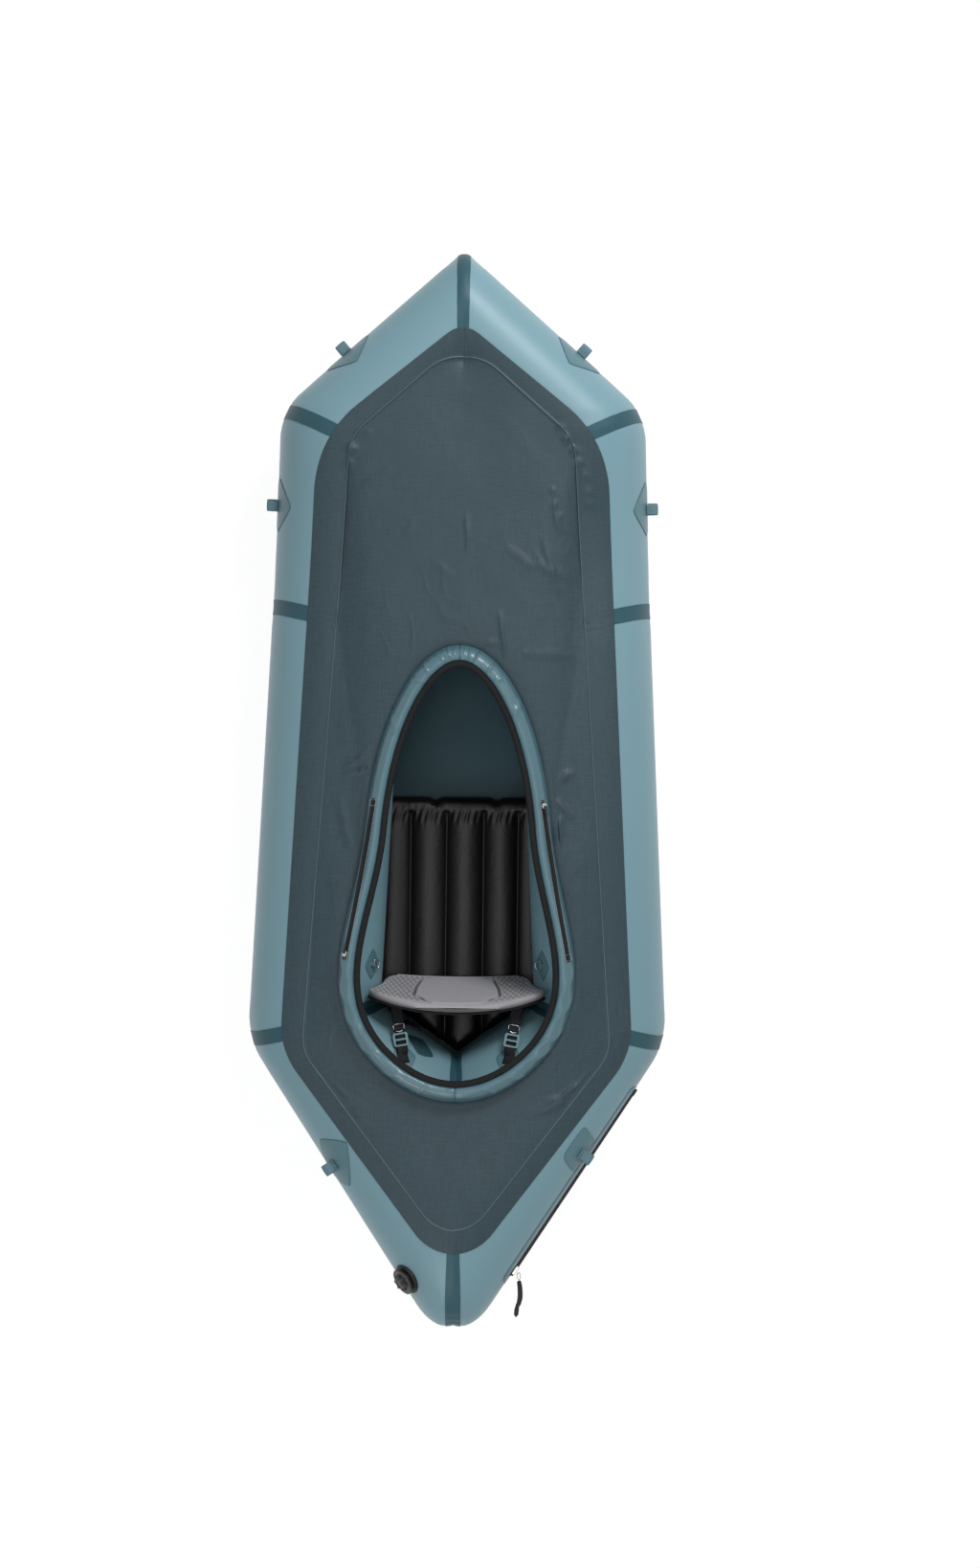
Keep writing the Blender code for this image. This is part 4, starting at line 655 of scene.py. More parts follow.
def rise(y):
    # the rocker: how high the bottom has climbed towards the bow or the stern
    start = hull["rockerStart"] * hull["halfLength"]
    blend = hull["rockerBlend"] * hull["halfLength"]
    past = max(abs(y) - start, 0)
    full = hull["halfLength"] - start
    top = hull["bowRise"] if y > 0 else hull["sternRise"]
    steep = top / (blend * blend + 2 * blend * (full - blend))
    if past < blend:
        return steep * past * past
    return steep * (blend * blend + 2 * blend * (past - blend))


def section(run, t):
    # the tube's cut across a run: its middle, outward way, outer and inner half widths, half height
    i = runNames.index(run)
    outer = outerLine[i].lerp(outerLine[i + 1], t)
    inner = innerLine[i].lerp(innerLine[i + 1], t)
    middle = (outer + inner) / 2
    outward = (outer - inner).normalized()
    half = (outer - inner).length / 2
    pulled = 0.0
    for corner, distance in ((i, t * runLengths[i]), (i + 1, (1 - t) * runLengths[i])):
        reach = hull["roundings"][corner] * math.tan(halfTurns[corner])
        depth = hull["roundings"][corner] * (1 / math.cos(halfTurns[corner]) - 1)
        if distance < reach:
            pulled += depth * (1 - distance / reach) ** 2
    height = halfHeights[i] + (halfHeights[i + 1] - halfHeights[i]) * t
    return middle, outward, half - pulled, half, height


def seamDistances(run, t):
    i = runNames.index(run)
    found = [t * runLengths[i], (1 - t) * runLengths[i]]
    if run == "side":
        found.append(abs(t - hull["sideSeam"]) * runLengths[i])
    return found


def seamDistance(run, t):
    return min(seamDistances(run, t))


def pucker(run, t, angle):
    # the film draws in at each welded seam and ripples beside it
    away = seamDistance(run, t)
    atTip = run == "stern" and t > 0.9
    drawn = -0.0007 * bell(away, 0.016) * (not atTip) - 0.0008 * bell(away, 0.05)
    ripple = 0.0004 * math.sin(22 * angle + 3 * math.sin(5 * angle)) * bell(away - 0.026, 0.014)
    swell = 0.0006 * math.sin(9 * angle + 40 * t) * bell(away - 0.05, 0.03)
    if run == "stern":  # the tape gathers over the stern's tip
        end = (1 - t) * runLengths[2]
        gather = bell(angle - 0.30, 0.34) * bell(end, 0.03)
        swell += 0.0012 * math.sin(angle * 46) * gather
    return drawn + ripple + swell


def tubePoint(run, t, angle, lift=0.0):
    middle, outward, wideOut, wideIn, height = section(run, t)
    lift = lift + hull["inset"] + pucker(run, t, angle)
    grown = 1 + lift / height
    wide = wideOut if math.cos(angle) > 0 else wideIn
    plan = middle + outward * (wide * grown * math.cos(angle))
    z = hull["bottom"] + rise(plan.y) + height + height * grown * math.sin(angle)
    return Vector((plan.x, plan.y, z))


def tubeSpeed(run, t, angle):
    # metres of film per unit of t
    small = 0.004
    low, high = max(t - small, 0), min(t + small, 1)
    return (tubePoint(run, high, angle) - tubePoint(run, low, angle)).length / (high - low)


def tubeFrame(run, t, angle, lift=0.0):
    small = 0.004
    origin = tubePoint(run, t, angle, lift)
    ahead, behind = tubePoint(run, min(t + small, 1), angle), tubePoint(run, max(t - small, 0), angle)
    along = (ahead - behind).normalized()
    girth = (tubePoint(run, t, angle + small) - tubePoint(run, t, angle - small)).normalized()
    out = girth.cross(along).normalized()
    middle, *_ = section(run, t)
    core = Vector((middle.x, middle.y, tubePoint(run, t, 0).z))
    if out.dot(origin - core) < 0:
        out = -out
    return origin, along, out.cross(along).normalized(), out


def onTube(run, t, angle, along, girth, lift):
    # a point at distances along and round the tube from a place on it
    height = section(run, t)[4]
    turned = angle + girth / height
    moved = t + along / tubeSpeed(run, min(max(t, 0.02), 0.98), turned)
    return tubePoint(run, min(max(moved, 0), 1), turned, lift)


def locate(x, y):
    # run, share and angle on the upper side over a plan point of the right half
    spot = Vector((x, y))

    def beside(corner):
        way = outerLine[corner] - innerLine[corner]
        to = spot - innerLine[corner]
        return way.x * to.y - way.y * to.x

    run = "bow" if beside(1) > 0 else ("side" if beside(2) > 0 else "stern")
    i = runNames.index(run)
    low, high = 0.0, 1.0

    def offset(t):
        outer = outerLine[i].lerp(outerLine[i + 1], t)
        inner = innerLine[i].lerp(innerLine[i + 1], t)
        way = outer - inner
        to = spot - inner
        return way.x * to.y - way.y * to.x

    sign = 1 if offset(low) > 0 else -1
    for _ in range(26):
        middle = (low + high) / 2
        if offset(middle) * sign > 0:
            low = middle
        else:
            high = middle
    centre, outward, wideOut, wideIn, _ = section(run, low)
    across = (spot - centre).dot(outward)
    wide = wideOut if across > 0 else wideIn
    return run, low, math.acos(max(-1.0, min(1.0, across / wide)))


def runStations(run):
    i = runNames.index(run)
    length = runLengths[i]
    count = round(length / hull["spacing"])
    marks = {round(k / count, 6) for k in range(count + 1)}
    seams = [0.0, 1.0] + ([hull["sideSeam"]] if run == "side" else [])
    for seam in seams:
        for away in hull["tapeMarks"] + hull["seamMarks"]:
            t = seam + away / length
            if 0 <= t <= 1:
                marks.add(round(t, 6))
    kept = [0.0]
    fixed = {round(seam + away / length, 6) for seam in seams for away in hull["tapeMarks"]}
    for t in sorted(marks)[1:]:
        if t - kept[-1] < hull["least"] / length and t not in fixed:
            continue
        kept.append(t)
    if kept[-1] < 1:
        kept.append(1.0)
    return kept


stations = [("bow", t) for t in runStations("bow")]
stations += [("side", t) for t in runStations("side")[1:]]
stations += [("stern", t) for t in runStations("stern")[1:]]


def bothSides(half):
    # rows from bow to stern on the right, then back up the left
    return half + [[mirror(point) for point in row] for row in half[-2:0:-1]]


def outOfTube(point):
    # the way from the middle of the tube to a point on either side of the hull
    run, t, _ = locate(abs(point.x), point.y)
    middle, _, _, _, height = section(run, t)
    x = middle.x if point.x >= 0 else -middle.x
    return point - Vector((x, middle.y, hull["bottom"] + rise(point.y) + height))


tubeNodes = [name for name in cadNodes if "_tube_" in name]


def buildTubes():
    count = hull["sides"]
    half = [[tubePoint(run, t, 2 * math.pi * k / count) for k in range(count)] for run, t in stations]
    mesh = loftMesh("hullTubes", bothSides(half), closed=True, sharp=80)
    return place("hullTubes", mesh, "hullFilm", nodes=tubeNodes, slot="hull_fabric")


hullTubes = buildTubes()


# Seam tapes

tapes = {
    "thickness": 0.0005, "lift": 0.0004, "low": -68, "high": 262, "steps": 132,
    "across": (-1, -0.94, -0.65, -0.35, 0, 0.35, 0.65, 0.94, 1),
}


def tapeRow(corner, angle, side):
    row = []
    for share in tapes["across"]:
        distance = share * hull["tapeHalf"]
        if corner == "sideSeam":
            t = hull["sideSeam"] + distance / tubeSpeed("side", hull["sideSeam"], angle)
            point = tubePoint("side", t, angle, tapes["lift"])
        elif corner in (0, 3):
            run, t = ("bow", 0.0) if corner == 0 else ("stern", 1.0)
            step = abs(distance) / tubeSpeed(run, 0.03 if corner == 0 else 0.97, angle)
            point = tubePoint(run, step if corner == 0 else 1 - step, angle, tapes["lift"])
            if distance < 0:
                point = mirror(point)
        else:
            before, after = (("bow", "side"), ("side", "stern"))[corner - 1]
            if distance < 0:
                run, t = before, 1 + distance / tubeSpeed(before, 0.97, angle)
            else:
                run, t = after, distance / tubeSpeed(after, 0.03, angle)
            point = tubePoint(run, t, angle, tapes["lift"])
        row.append(Vector((point.x * side, point.y, point.z)))
    return row


def buildTapes():
    places = [("bowTape", 0, 1), ("sternTape", 3, 1)]
    for hand, side in (("Right", 1), ("Left", -1)):
        for part, corner in (("shoulder", 1), ("side", "sideSeam"), ("rear", 2)):
            places.append((part + "Tape" + hand, corner, side))
    for name, corner, side in places:
        rows = []
        for k in range(tapes["steps"] + 1):
            angle = math.radians(tapes["low"] + (tapes["high"] - tapes["low"]) * k / tapes["steps"])
            rows.append(tapeRow(corner, angle, side))
        piece = place(name, sheetMesh(name, rows, outOfTube), "seamTape", slot="hull_fabric")
        thicken(piece, tapes["thickness"])


buildTapes()
print("tubes and seam tapes made")


# Bottom sheet

floorSettings = {"columns": 22, "thickness": 0.0016, "lift": 0.0014, "edge": -72, "flatLength": 2.3}


def buildFloor():
    rows = []
    for run, t in stations[::2] + ([stations[-1]] if len(stations) % 2 == 0 else []):
        half = []
        for k in range(6):
            angle = math.radians(floorSettings["edge"] + (-90 - floorSettings["edge"]) * k / 5)
            half.append(tubePoint(run, t, angle, floorSettings["lift"]))
        under = half[-1]
        for k in range(1, floorSettings["columns"]):
            share = 1 - k / floorSettings["columns"]
            x = under.x * share
            dip = 0.0005 * noise.noise(Vector((x * 9, under.y * 6, 3)))
            half.append(Vector((x, under.y, under.z + abs(dip) * smoothStep((1 - share) * 8))))
        rows.append([mirror(point) for point in half] + [Vector((0, under.y, under.z))] + half[::-1])
    mesh = sheetMesh("hullFloor", rows, lambda point: Vector((0, 0, -1)))
    floor = place("hullFloor", mesh, "floorCloth", nodes=["hull_floor"], slot="floor_fabric")
    thicken(floor, floorSettings["thickness"])


buildFloor()


# Coaming ring law

coaming = {
    "centre": -0.1797, "halfLength": 0.498, "frontWidth": 0.2085, "rearWidth": 0.329, "base": 0.315,
    "endLift": 0.02, "taper": (0.85, 1.05), "sleeveWidth": 0.037, "sleeveHeight": 0.0435, "turns": 840,
}


def coamingEdge(turn):
    c, s = math.cos(turn), math.sin(turn)
    narrowing = smoothStep((c + coaming["taper"][0]) / coaming["taper"][1])
    wide = coaming["rearWidth"] - (coaming["rearWidth"] - coaming["frontWidth"]) * narrowing
    return Vector((wide * s, coaming["centre"] + coaming["halfLength"] * c))


def coamingPoint(turn, inset, height):
    small = 0.001
    edge = coamingEdge(turn)
    along = (coamingEdge(turn + small) - coamingEdge(turn - small)).normalized()
    out = Vector((-along.y, along.x))
    if out.dot(edge - Vector((0, coaming["centre"]))) < 0:
        out = -out
    plan = edge - out * inset
    share = (edge.y - coaming["centre"]) / coaming["halfLength"]
    return Vector((plan.x, plan.y, coaming["base"] + coaming["endLift"] * share * share + height))


def evenTurns(lengths):
    # a turn of the coaming for each length along half of the hull
    fine = 600
    ring = runningLengths([coamingEdge(math.pi * k / fine) for k in range(fine + 1)])
    turns = []
    for length in lengths:
        wanted = length / lengths[-1] * ring[-1]
        k = max(i for i in range(fine) if ring[i] <= wanted + 1e-9)
        turns.append(math.pi * (k + min((wanted - ring[k]) / (ring[k + 1] - ring[k]), 1)) / fine)
    turns[-1] = math.pi
    return turns


# Spray deck

deck = {
    # corners of the outer edge and of the weld inside it, in plan, with their roundings
    "edge": (
        ((0, 1.0135), 0.052), ((0.3177, 0.7654), 0.25), ((0.3887, -0.5753), 0.17), ((0, -1.0658), 0.108),
    ),
    "weld": (
        ((0, 0.977), 0.117), ((0.2444, 0.7676), 0.10), ((0.3388, -0.574), 0.10), ((0, -1.0006), 0.086),
    ),
    "lift": 0.0012, "thickness": 0.0012, "beadThickness": 0.0005, "ledge": 0.012, "sag": 0.012,
    "relax": 400, "flat": (0.78, 2.12), "ridge": (0.0009, 0.0008), "ridgeWidth": 0.0026, "beadLift": 0.0003,
    "bandShares": (0, 0.02, 0.06, 0.14, 0.24, 0.36, 0.48, 0.60, 0.72, 0.82, 0.90),
    "ridgeOffsets": (-0.006, -0.0032, -0.0014, 0, 0.0014, 0.0032, 0.006),
    "spanShares": (
        0.03, 0.055, 0.08, 0.105, 0.13, 0.16, 0.19, 0.22, 0.26, 0.30, 0.34, 0.38, 0.42,
        0.46, 0.50, 0.55, 0.60, 0.65, 0.70, 0.75, 0.80, 0.85, 0.89, 0.93, 0.965, 1,
    ),
    # bumps beside the weld: x, y, half width, height
    "bumps": (
        (0.214, 0.790, 0.008, 0.0050), (0.226, 0.768, 0.0085, 0.0075), (0.243, 0.741, 0.008, 0.0080),
        (0.254, 0.717, 0.008, 0.0075), (0.266, 0.690, 0.008, 0.0055), (0.274, 0.655, 0.008, 0.0050),
        (0.277, 0.630, 0.008, 0.0050), (0.198, 0.655, 0.006, 0.0040), (0.203, 0.625, 0.006, 0.0040),
        (0.216, 0.600, 0.006, 0.0030), (-0.240, 0.742, 0.011, 0.0090), (-0.246, 0.714, 0.008, 0.0070),
        (-0.205, 0.775, 0.009, 0.0030),
    ),
    # soft folds: two ends, width, height
    "folds": (
        (-0.128, 0.56, -0.095, 0.59, 0.006, 0.0010), (0.010, 0.60, 0.014, 0.52, 0.006, 0.0012),
        (0.10, 0.53, 0.15, 0.50, 0.006, 0.0012), (0.16, 0.52, 0.19, 0.48, 0.006, 0.0012),
        (0.18, 0.55, 0.21, 0.44, 0.007, 0.0014), (0.13, 0.50, 0.24, 0.47, 0.006, 0.0012),
        (0.085, 0.385, 0.098, 0.30, 0.006, 0.0018), (0.03, 0.315, 0.085, 0.325, 0.005, 0.0012),
        (0.14, 0.30, 0.24, 0.30, 0.005, 0.0012), (0.20, 0.62, 0.215, 0.57, 0.006, 0.0014),
        (-0.06, 0.50, -0.02, 0.47, 0.006, 0.0009), (-0.21, 0.66, -0.16, 0.70, 0.006, 0.0012),
        (0.225, -0.06, 0.215, -0.14, 0.007, 0.0022), (0.215, -0.02, 0.245, -0.05, 0.006, 0.0022),
        (0.22, 0.03, 0.25, 0.04, 0.006, 0.0020), (0.23, -0.20, 0.25, -0.24, 0.006, 0.0014),
        (-0.245, 0.05, -0.20, 0.085, 0.007, 0.0022), (-0.25, 0.03, -0.19, 0.055, 0.006, 0.0020),
        (-0.262, -0.02, -0.24, -0.12, 0.010, 0.0016), (0.19, -0.69, 0.33, -0.60, 0.008, 0.0022),
        (0.17, -0.70, 0.27, -0.67, 0.007, 0.0018), (0.20, -0.74, 0.29, -0.68, 0.007, 0.0014),
        (-0.20, -0.69, -0.32, -0.62, 0.008, 0.0018), (-0.17, -0.72, -0.27, -0.70, 0.007, 0.0014),
    ),
}


def roundedRuns(corners):
    # the half outline as three runs of fine points, cut at the middles of its rounded corners
    places = [Vector(place) for place, _ in corners]
    mirrored = [Vector((-places[1].x, places[1].y))] + places + [Vector((-places[2].x, places[2].y))]
    runs, current = [], []
    for k, (_, radius) in enumerate(corners):
        before, corner, after = mirrored[k], places[k], mirrored[k + 2]
        backward, forward = (before - corner).normalized(), (after - corner).normalized()
        half = math.acos(max(-1.0, min(1.0, backward.dot(forward)))) / 2
        centre = corner + (backward + forward).normalized() * (radius / math.sin(half))
        first = corner + backward * (radius / math.tan(half)) - centre
        last = corner + forward * (radius / math.tan(half)) - centre
        steps = 24
        arc = []
        for s in range(steps + 1):
            share = s / steps
            spread = first.lerp(last, share).normalized() * radius
            arc.append(centre + spread)
        if k > 0:
            current += arc[:steps // 2 + 1]
            runs.append(current)
        current = arc[steps // 2:]
    return runs


def alongRun(points, share):
    lengths = runningLengths(points)
    wanted = share * lengths[-1]
    k = max(i for i in range(len(points) - 1) if lengths[i] <= wanted + 1e-9)
    return points[k].lerp(points[k + 1], (wanted - lengths[k]) / max(lengths[k + 1] - lengths[k], 1e-9))


def segmentDistance(x, y, fold):
    x0, y0, x1, y1 = fold[:4]
    dx, dy = x1 - x0, y1 - y0
    long = dx * dx + dy * dy
    share = max(0, min(1, ((x - x0) * dx + (y - y0) * dy) / long))
    return math.hypot(x - x0 - dx * share, y - y0 - dy * share), share


def deckBumps(x, y):
    return sum(high * bell(math.hypot(x - bx, y - by), wide) for bx, by, wide, high in deck["bumps"])


def deckRelief(x, y, away):
    # folds stand up; the slow swells may only sink where the cloth is clear of the tubes
    total = 0.0
    for fold in deck["folds"]:
        wobble = 0.006 * noise.noise(Vector((x * 30, y * 30, fold[0] * 50)))
        distance, share = segmentDistance(x + wobble, y - wobble, fold)
        total += 2.6 * fold[5] * bell(distance, fold[4]) * math.sin(math.pi * (0.15 + 0.7 * share))
    wide = noise.noise(Vector((x * 9, y * 6, 1.5)))
    narrow = noise.noise(Vector((x * 30, y * 22, 7.5)))
    total += (0.0018 * wide + 0.0007 * narrow) * smoothStep((away - 0.05) / 0.05)
    crease = noise.noise(Vector((x * 15, y * 13, 4.5)))
    total += 0.0012 * max(0, 1 - abs(crease) * 9) * max(0, noise.noise(Vector((x * 4, y * 4, 8.5))) + 0.25)
    return total


def overTape(run, t):
    # the cloth lies this much higher where it crosses a seam tape
    return 0.0006 * smoothStep((0.0185 - seamDistance(run, t)) / 0.002)


def deckHeight(plan, lift):
    # over the tube's film, with the lines of the tape that lies under it
    run, t, angle = locate(abs(plan.x), plan.y)
    away = seamDistance(run, t)
    lines = 0.0003 * math.cos(2 * math.pi * away / 0.0085) * smoothStep((0.019 - away) / 0.002)
    return tubePoint(run, t, angle, deck["lift"] + overTape(run, t) + lines + lift).z


def deckColumn(edge, weld, rim, under, ridge):
    # points across the deck, from its outer edge to the coaming
    way = (weld - edge).normalized()
    inward = (Vector((rim.x, rim.y)) - weld).normalized()
    plans = [(edge.lerp(weld, share), 0.0) for share in deck["bandShares"]]
    for offset in deck["ridgeOffsets"]:
        plans.append(
            (weld + (way if offset < 0 else inward) * offset, ridge * bell(offset, deck["ridgeWidth"]))
        )
    column = [Vector((plan.x, plan.y, deckHeight(plan, lift))) for plan, lift in plans]
    last = column[-1]
    span = (rim - last).length
    for share in deck["spanShares"]:
        point = last.lerp(rim, share)
        point.z -= deck["sag"] * span * math.sin(math.pi * share)
        run, t, angle = locate(abs(point.x), point.y)
        if 0 <= t <= 1 and angle < math.radians(150):
            point.z = max(point.z, tubePoint(run, t, angle, deck["lift"] + overTape(run, t)).z)
        column.append(point)
    column.append(under)
    return column


def relaxDeck(rows, first, last):
    # the free part becomes a taut, smooth membrane, and never sinks into the tubes
    heights = numpy.array([[point.z for point in row] for row in rows])
    base = numpy.full_like(heights, -1.0)
    for i, row in enumerate(rows):
        for j in range(first, last):
            run, t, angle = locate(abs(row[j].x), row[j].y)
            if 0 < t < 1 and angle < math.radians(140):
                base[i, j] = tubePoint(run, t, angle, deck["lift"] + overTape(run, t)).z
    plans = numpy.array([[point.xy for point in row] for row in rows])
    after = numpy.linalg.norm(numpy.roll(plans, -1, 0) - plans, axis=2)[:, first:last] + 0.0005
    before = numpy.linalg.norm(numpy.roll(plans, 1, 0) - plans, axis=2)[:, first:last] + 0.0005
    steps = numpy.linalg.norm(plans[:, 1:] - plans[:, :-1], axis=2) + 0.0005
    outer, inner = steps[:, first - 1:last - 1], steps[:, first:last]
    around, across = 2 / (after + before), 2 / (outer + inner)
    total = around * (1 / after + 1 / before) + across * (1 / outer + 1 / inner)
    for _ in range(deck["relax"]):
        following, preceding = numpy.roll(heights, -1, 0), numpy.roll(heights, 1, 0)
        beside = following[:, first:last] / after + preceding[:, first:last] / before
        along = heights[:, first - 1:last - 1] / outer + heights[:, first + 1:last + 1] / inner
        level = (around * beside + across * along) / total
        heights[:, first:last] = numpy.maximum(level, base[:, first:last])
    for i, row in enumerate(rows):
        for j in range(first, last):
            row[j].z = float(heights[i, j])


def refineDeck(rows, first, last):
    # a middle row between each two, thirds between the free columns, then folds and bumps
    closer = []
    for i, row in enumerate(rows):
        following = rows[(i + 1) % len(rows)]
        closer += [row, [a.lerp(b, 0.5) for a, b in zip(row, following)]]
    fine = []
    for row in closer:
        span = (row[last] - row[first - 1]).length
        column = [point.copy() for point in row[:first]]
        for j in range(first, last + 1):
            for third in (1, 2, 3):
                point = row[j - 1].lerp(row[j], third / 3)
                away = (point - row[first - 1]).length
                free = smoothStep(away / 0.014) * smoothStep((span - away) / 0.02)
                point.z += deckRelief(point.x, point.y, away) * free
                column.append(point)
        column += [point.copy() for point in row[last + 1:]]
        for point in column:
            point.z += deckBumps(point.x, point.y)
        fine.append(column)
    return fine


def buildDeck():
    edges, welds = roundedRuns(deck["edge"]), roundedRuns(deck["weld"])
    edgeHalf = [alongRun(edges[runNames.index(run)], t) for run, t in stations]
    weldHalf = [alongRun(welds[runNames.index(run)], t) for run, t in stations]
    turns = evenTurns(runningLengths(weldHalf))
    half = []
    for e, c, turn in zip(edgeHalf, weldHalf, turns):
        rim = coamingPoint(turn, -deck["ledge"], 0)
        under = coamingPoint(turn, coaming["sleeveWidth"] * 0.5, 0.0)
        low, more = deck["ridge"]
        ridge = low + more * smoothStep((c.y - 0.60) / 0.15)
        half.append(deckColumn(e, c, rim, under, ridge))
    rows = bothSides(half)
    first = len(deck["bandShares"]) + len(deck["ridgeOffsets"])
    last = first + len(deck["spanShares"]) - 1
    relaxDeck(rows, first, last)
    rows = refineDeck(rows, first, last)
    # a lighter strip on the weld: partly the weld mark, partly a painted highlight
    bead = len(deck["bandShares"]) + 2
    lifted = Vector((0, 0, deck["beadLift"]))
    beads = [[point + lifted for point in row[bead:bead + 3]] for row in rows]
    mesh = sheetMesh("sprayDeck", rows, skyward, closed=True)
    piece = place("sprayDeck", mesh, "deckCloth", nodes=["spray_deck"], slot="deck_fabric")
    thicken(piece, deck["thickness"], offset=-1.0)
    weld = place(
        "deckWeld", sheetMesh("deckWeld", beads, skyward, closed=True), "weldBead", slot="deck_fabric"
    )
    thicken(weld, deck["beadThickness"])


buildDeck()
print("deck made")


# Coaming sleeve, binding and side zips

sleeve = {
    "profile": (
        (0.0, 0.0), (0.02, 0.16), (0.09, 0.48), (0.25, 0.79), (0.52, 0.98), (0.78, 1.0), (0.95, 0.90),
        (1.0, 0.70), (1.0, 0.0)
    ),
    "steps": 3, "thickness": 0.0012, "weldDepth": 0.0022, "bindingWidth": 0.0127, "bindingHeight": 0.010,
    "bindingFlat": 0.0208,  # the strip's width before it is folded over the edge
    "bindingTurns": 220,
    "bindingProfile": (
        (0, -1), (0, -0.4), (0.03, 0), (0.2, 0.13), (0.45, 0.13), (0.75, 0.02), (0.93, -0.2), (1, -0.5),
        (0.93, -0.8), (0.8, -0.9),
    ),
}


def sleevePoint(turn, place, lift=0.0):
    profile = sleeve["profile"]
    k = min(int(place), len(profile) - 2)
    share = place - k
    before = profile[max(k - 1, 0)]
    a, b = profile[k], profile[k + 1]
    after = profile[min(k + 2, len(profile) - 1)]
    wide, tall = coaming["sleeveWidth"], coaming["sleeveHeight"]
    inset = spline(before[0], a[0], b[0], after[0], share) * wide
    high = spline(before[1], a[1], b[1], after[1], share) * tall
    across = Vector(((b[0] - a[0]) * wide, (b[1] - a[1]) * tall)).normalized()
    return coamingPoint(turn, inset - across.y * lift, high + across.x * lift + 0.0003)


# folds that slant over the sleeve: where each starts and ends (turn, place), its width and its height
sleeveFolds = (
    (0.10, 1.5, 0.16, 6.5, 0.0035, 0.0026), (0.24, 1.0, 0.20, 6.0, 0.0040, 0.0030),
    (0.36, 2.0, 0.44, 7.0, 0.0035, 0.0028), (0.55, 1.0, 0.48, 6.5, 0.0045, 0.0030),
    (0.70, 2.0, 0.82, 6.5, 0.0050, 0.0022), (-0.12, 1.5, -0.17, 6.5, 0.0035, 0.0030),
    (-0.27, 1.0, -0.22, 6.0, 0.0040, 0.0024), (-0.38, 1.5, -0.47, 6.8, 0.0040, 0.0030),
    (-0.58, 1.0, -0.50, 6.5, 0.0045, 0.0026), (-0.80, 1.5, -0.92, 6.5, 0.0050, 0.0022),
    (1.95, 1.0, 2.20, 6.5, 0.0060, 0.0028), (2.10, 1.0, 2.36, 6.8, 0.0055, 0.0036),
    (2.28, 1.0, 2.52, 6.5, 0.0055, 0.0034), (2.44, 2.0, 2.66, 6.5, 0.0050, 0.0030),
    (2.62, 1.0, 2.80, 6.0, 0.0050, 0.0026), (2.84, 1.5, 2.96, 6.5, 0.0045, 0.0020),
    (-1.90, 1.0, -2.12, 6.5, 0.0060, 0.0026), (-2.04, 1.0, -2.30, 6.5, 0.0055, 0.0036),
    (-2.22, 1.5, -2.44, 6.8, 0.0050, 0.0036), (-2.40, 1.0, -2.60, 6.5, 0.0050, 0.0030),
    (-2.60, 1.0, -2.78, 6.0, 0.0050, 0.0022), (-2.86, 1.5, -2.95, 6.5, 0.0045, 0.0018),
)


def sleeveFold(turn, place):
    total = 0.0
    radius, girth = 0.33, 0.0085
    for start, low, end, high, width, height in sleeveFolds:
        away = (turn - start + math.pi) % (2 * math.pi) - math.pi
        if abs(away) > 0.55:
            continue
        dx, dy = (end - start) * radius, (high - low) * girth
        px, py = away * radius, (place - low) * girth
        share = max(0, min(1, (px * dx + py * dy) / (dx * dx + dy * dy)))
        ridge = bell(math.hypot(px - dx * share, py - dy * share), width)
        total += height * ridge * math.sin(math.pi * (0.12 + 0.76 * share))
    return total


def sleeveSlack(turn, place):
    # creases that run across the sleeve at its ends, and long soft ones behind
    share = place / 8
    front = bell(min(turn, 2 * math.pi - turn), 0.75)
    rear = bell(turn - math.pi, 0.9)
    side = 1 - max(front, rear)
    arch = math.sin(math.pi * min(1, share * 1.25)) if share < 0.8 else 0.1
    slanted = turn + share * 0.18 * math.sin(turn * 3)
    field = noise.noise(Vector((math.cos(slanted) * 11, math.sin(slanted) * 11, share * 0.9)))
    ridged = max(0, 1 - abs(field) * 6) ** 1.5
    fine = noise.noise(Vector((math.cos(turn) * 26, math.sin(turn) * 26, share * 3)))
    long = noise.noise(Vector((turn * 3.4 + share * 3.2, share * 4.2 - turn * 1.6, 9.0)))
    folds = max(0, 1 - abs(long) * 4.5) ** 1.5
    amount = 0.0016 * front * ridged + 0.0012 * rear * folds
    amount += 0.0003 * fine * (front + rear)
    amount += 0.0003 * side * fine
    return (amount + sleeveFold(turn, place)) * max(arch, 0)


def ringTurns(count):
    return [2 * math.pi * k / count for k in range(count)]


def buildSleeve():
    rows = []
    count = (len(sleeve["profile"]) - 1) * sleeve["steps"]
    for turn in ringTurns(coaming["turns"]):
        # the welds that close the sleeve at the front and at the rear
        front = sleeve["weldDepth"] * bell(min(turn, 2 * math.pi - turn), 0.007)
        rear = sleeve["weldDepth"] * bell(turn - math.pi, 0.006)
        row = []
        for k in range(count + 1):
            spot = k / sleeve["steps"]
            row.append(sleevePoint(turn, spot, sleeveSlack(turn, spot) - front - rear))
        rows.append(row)
    mesh = sheetMesh("coamingSleeve", rows, skyward, closed=True)
    piece = place("coamingSleeve", mesh, "sleeveFilm", nodes=["coaming_sleeve"], slot="sleeve_fabric")
    thicken(piece, sleeve["thickness"], offset=-1.0)


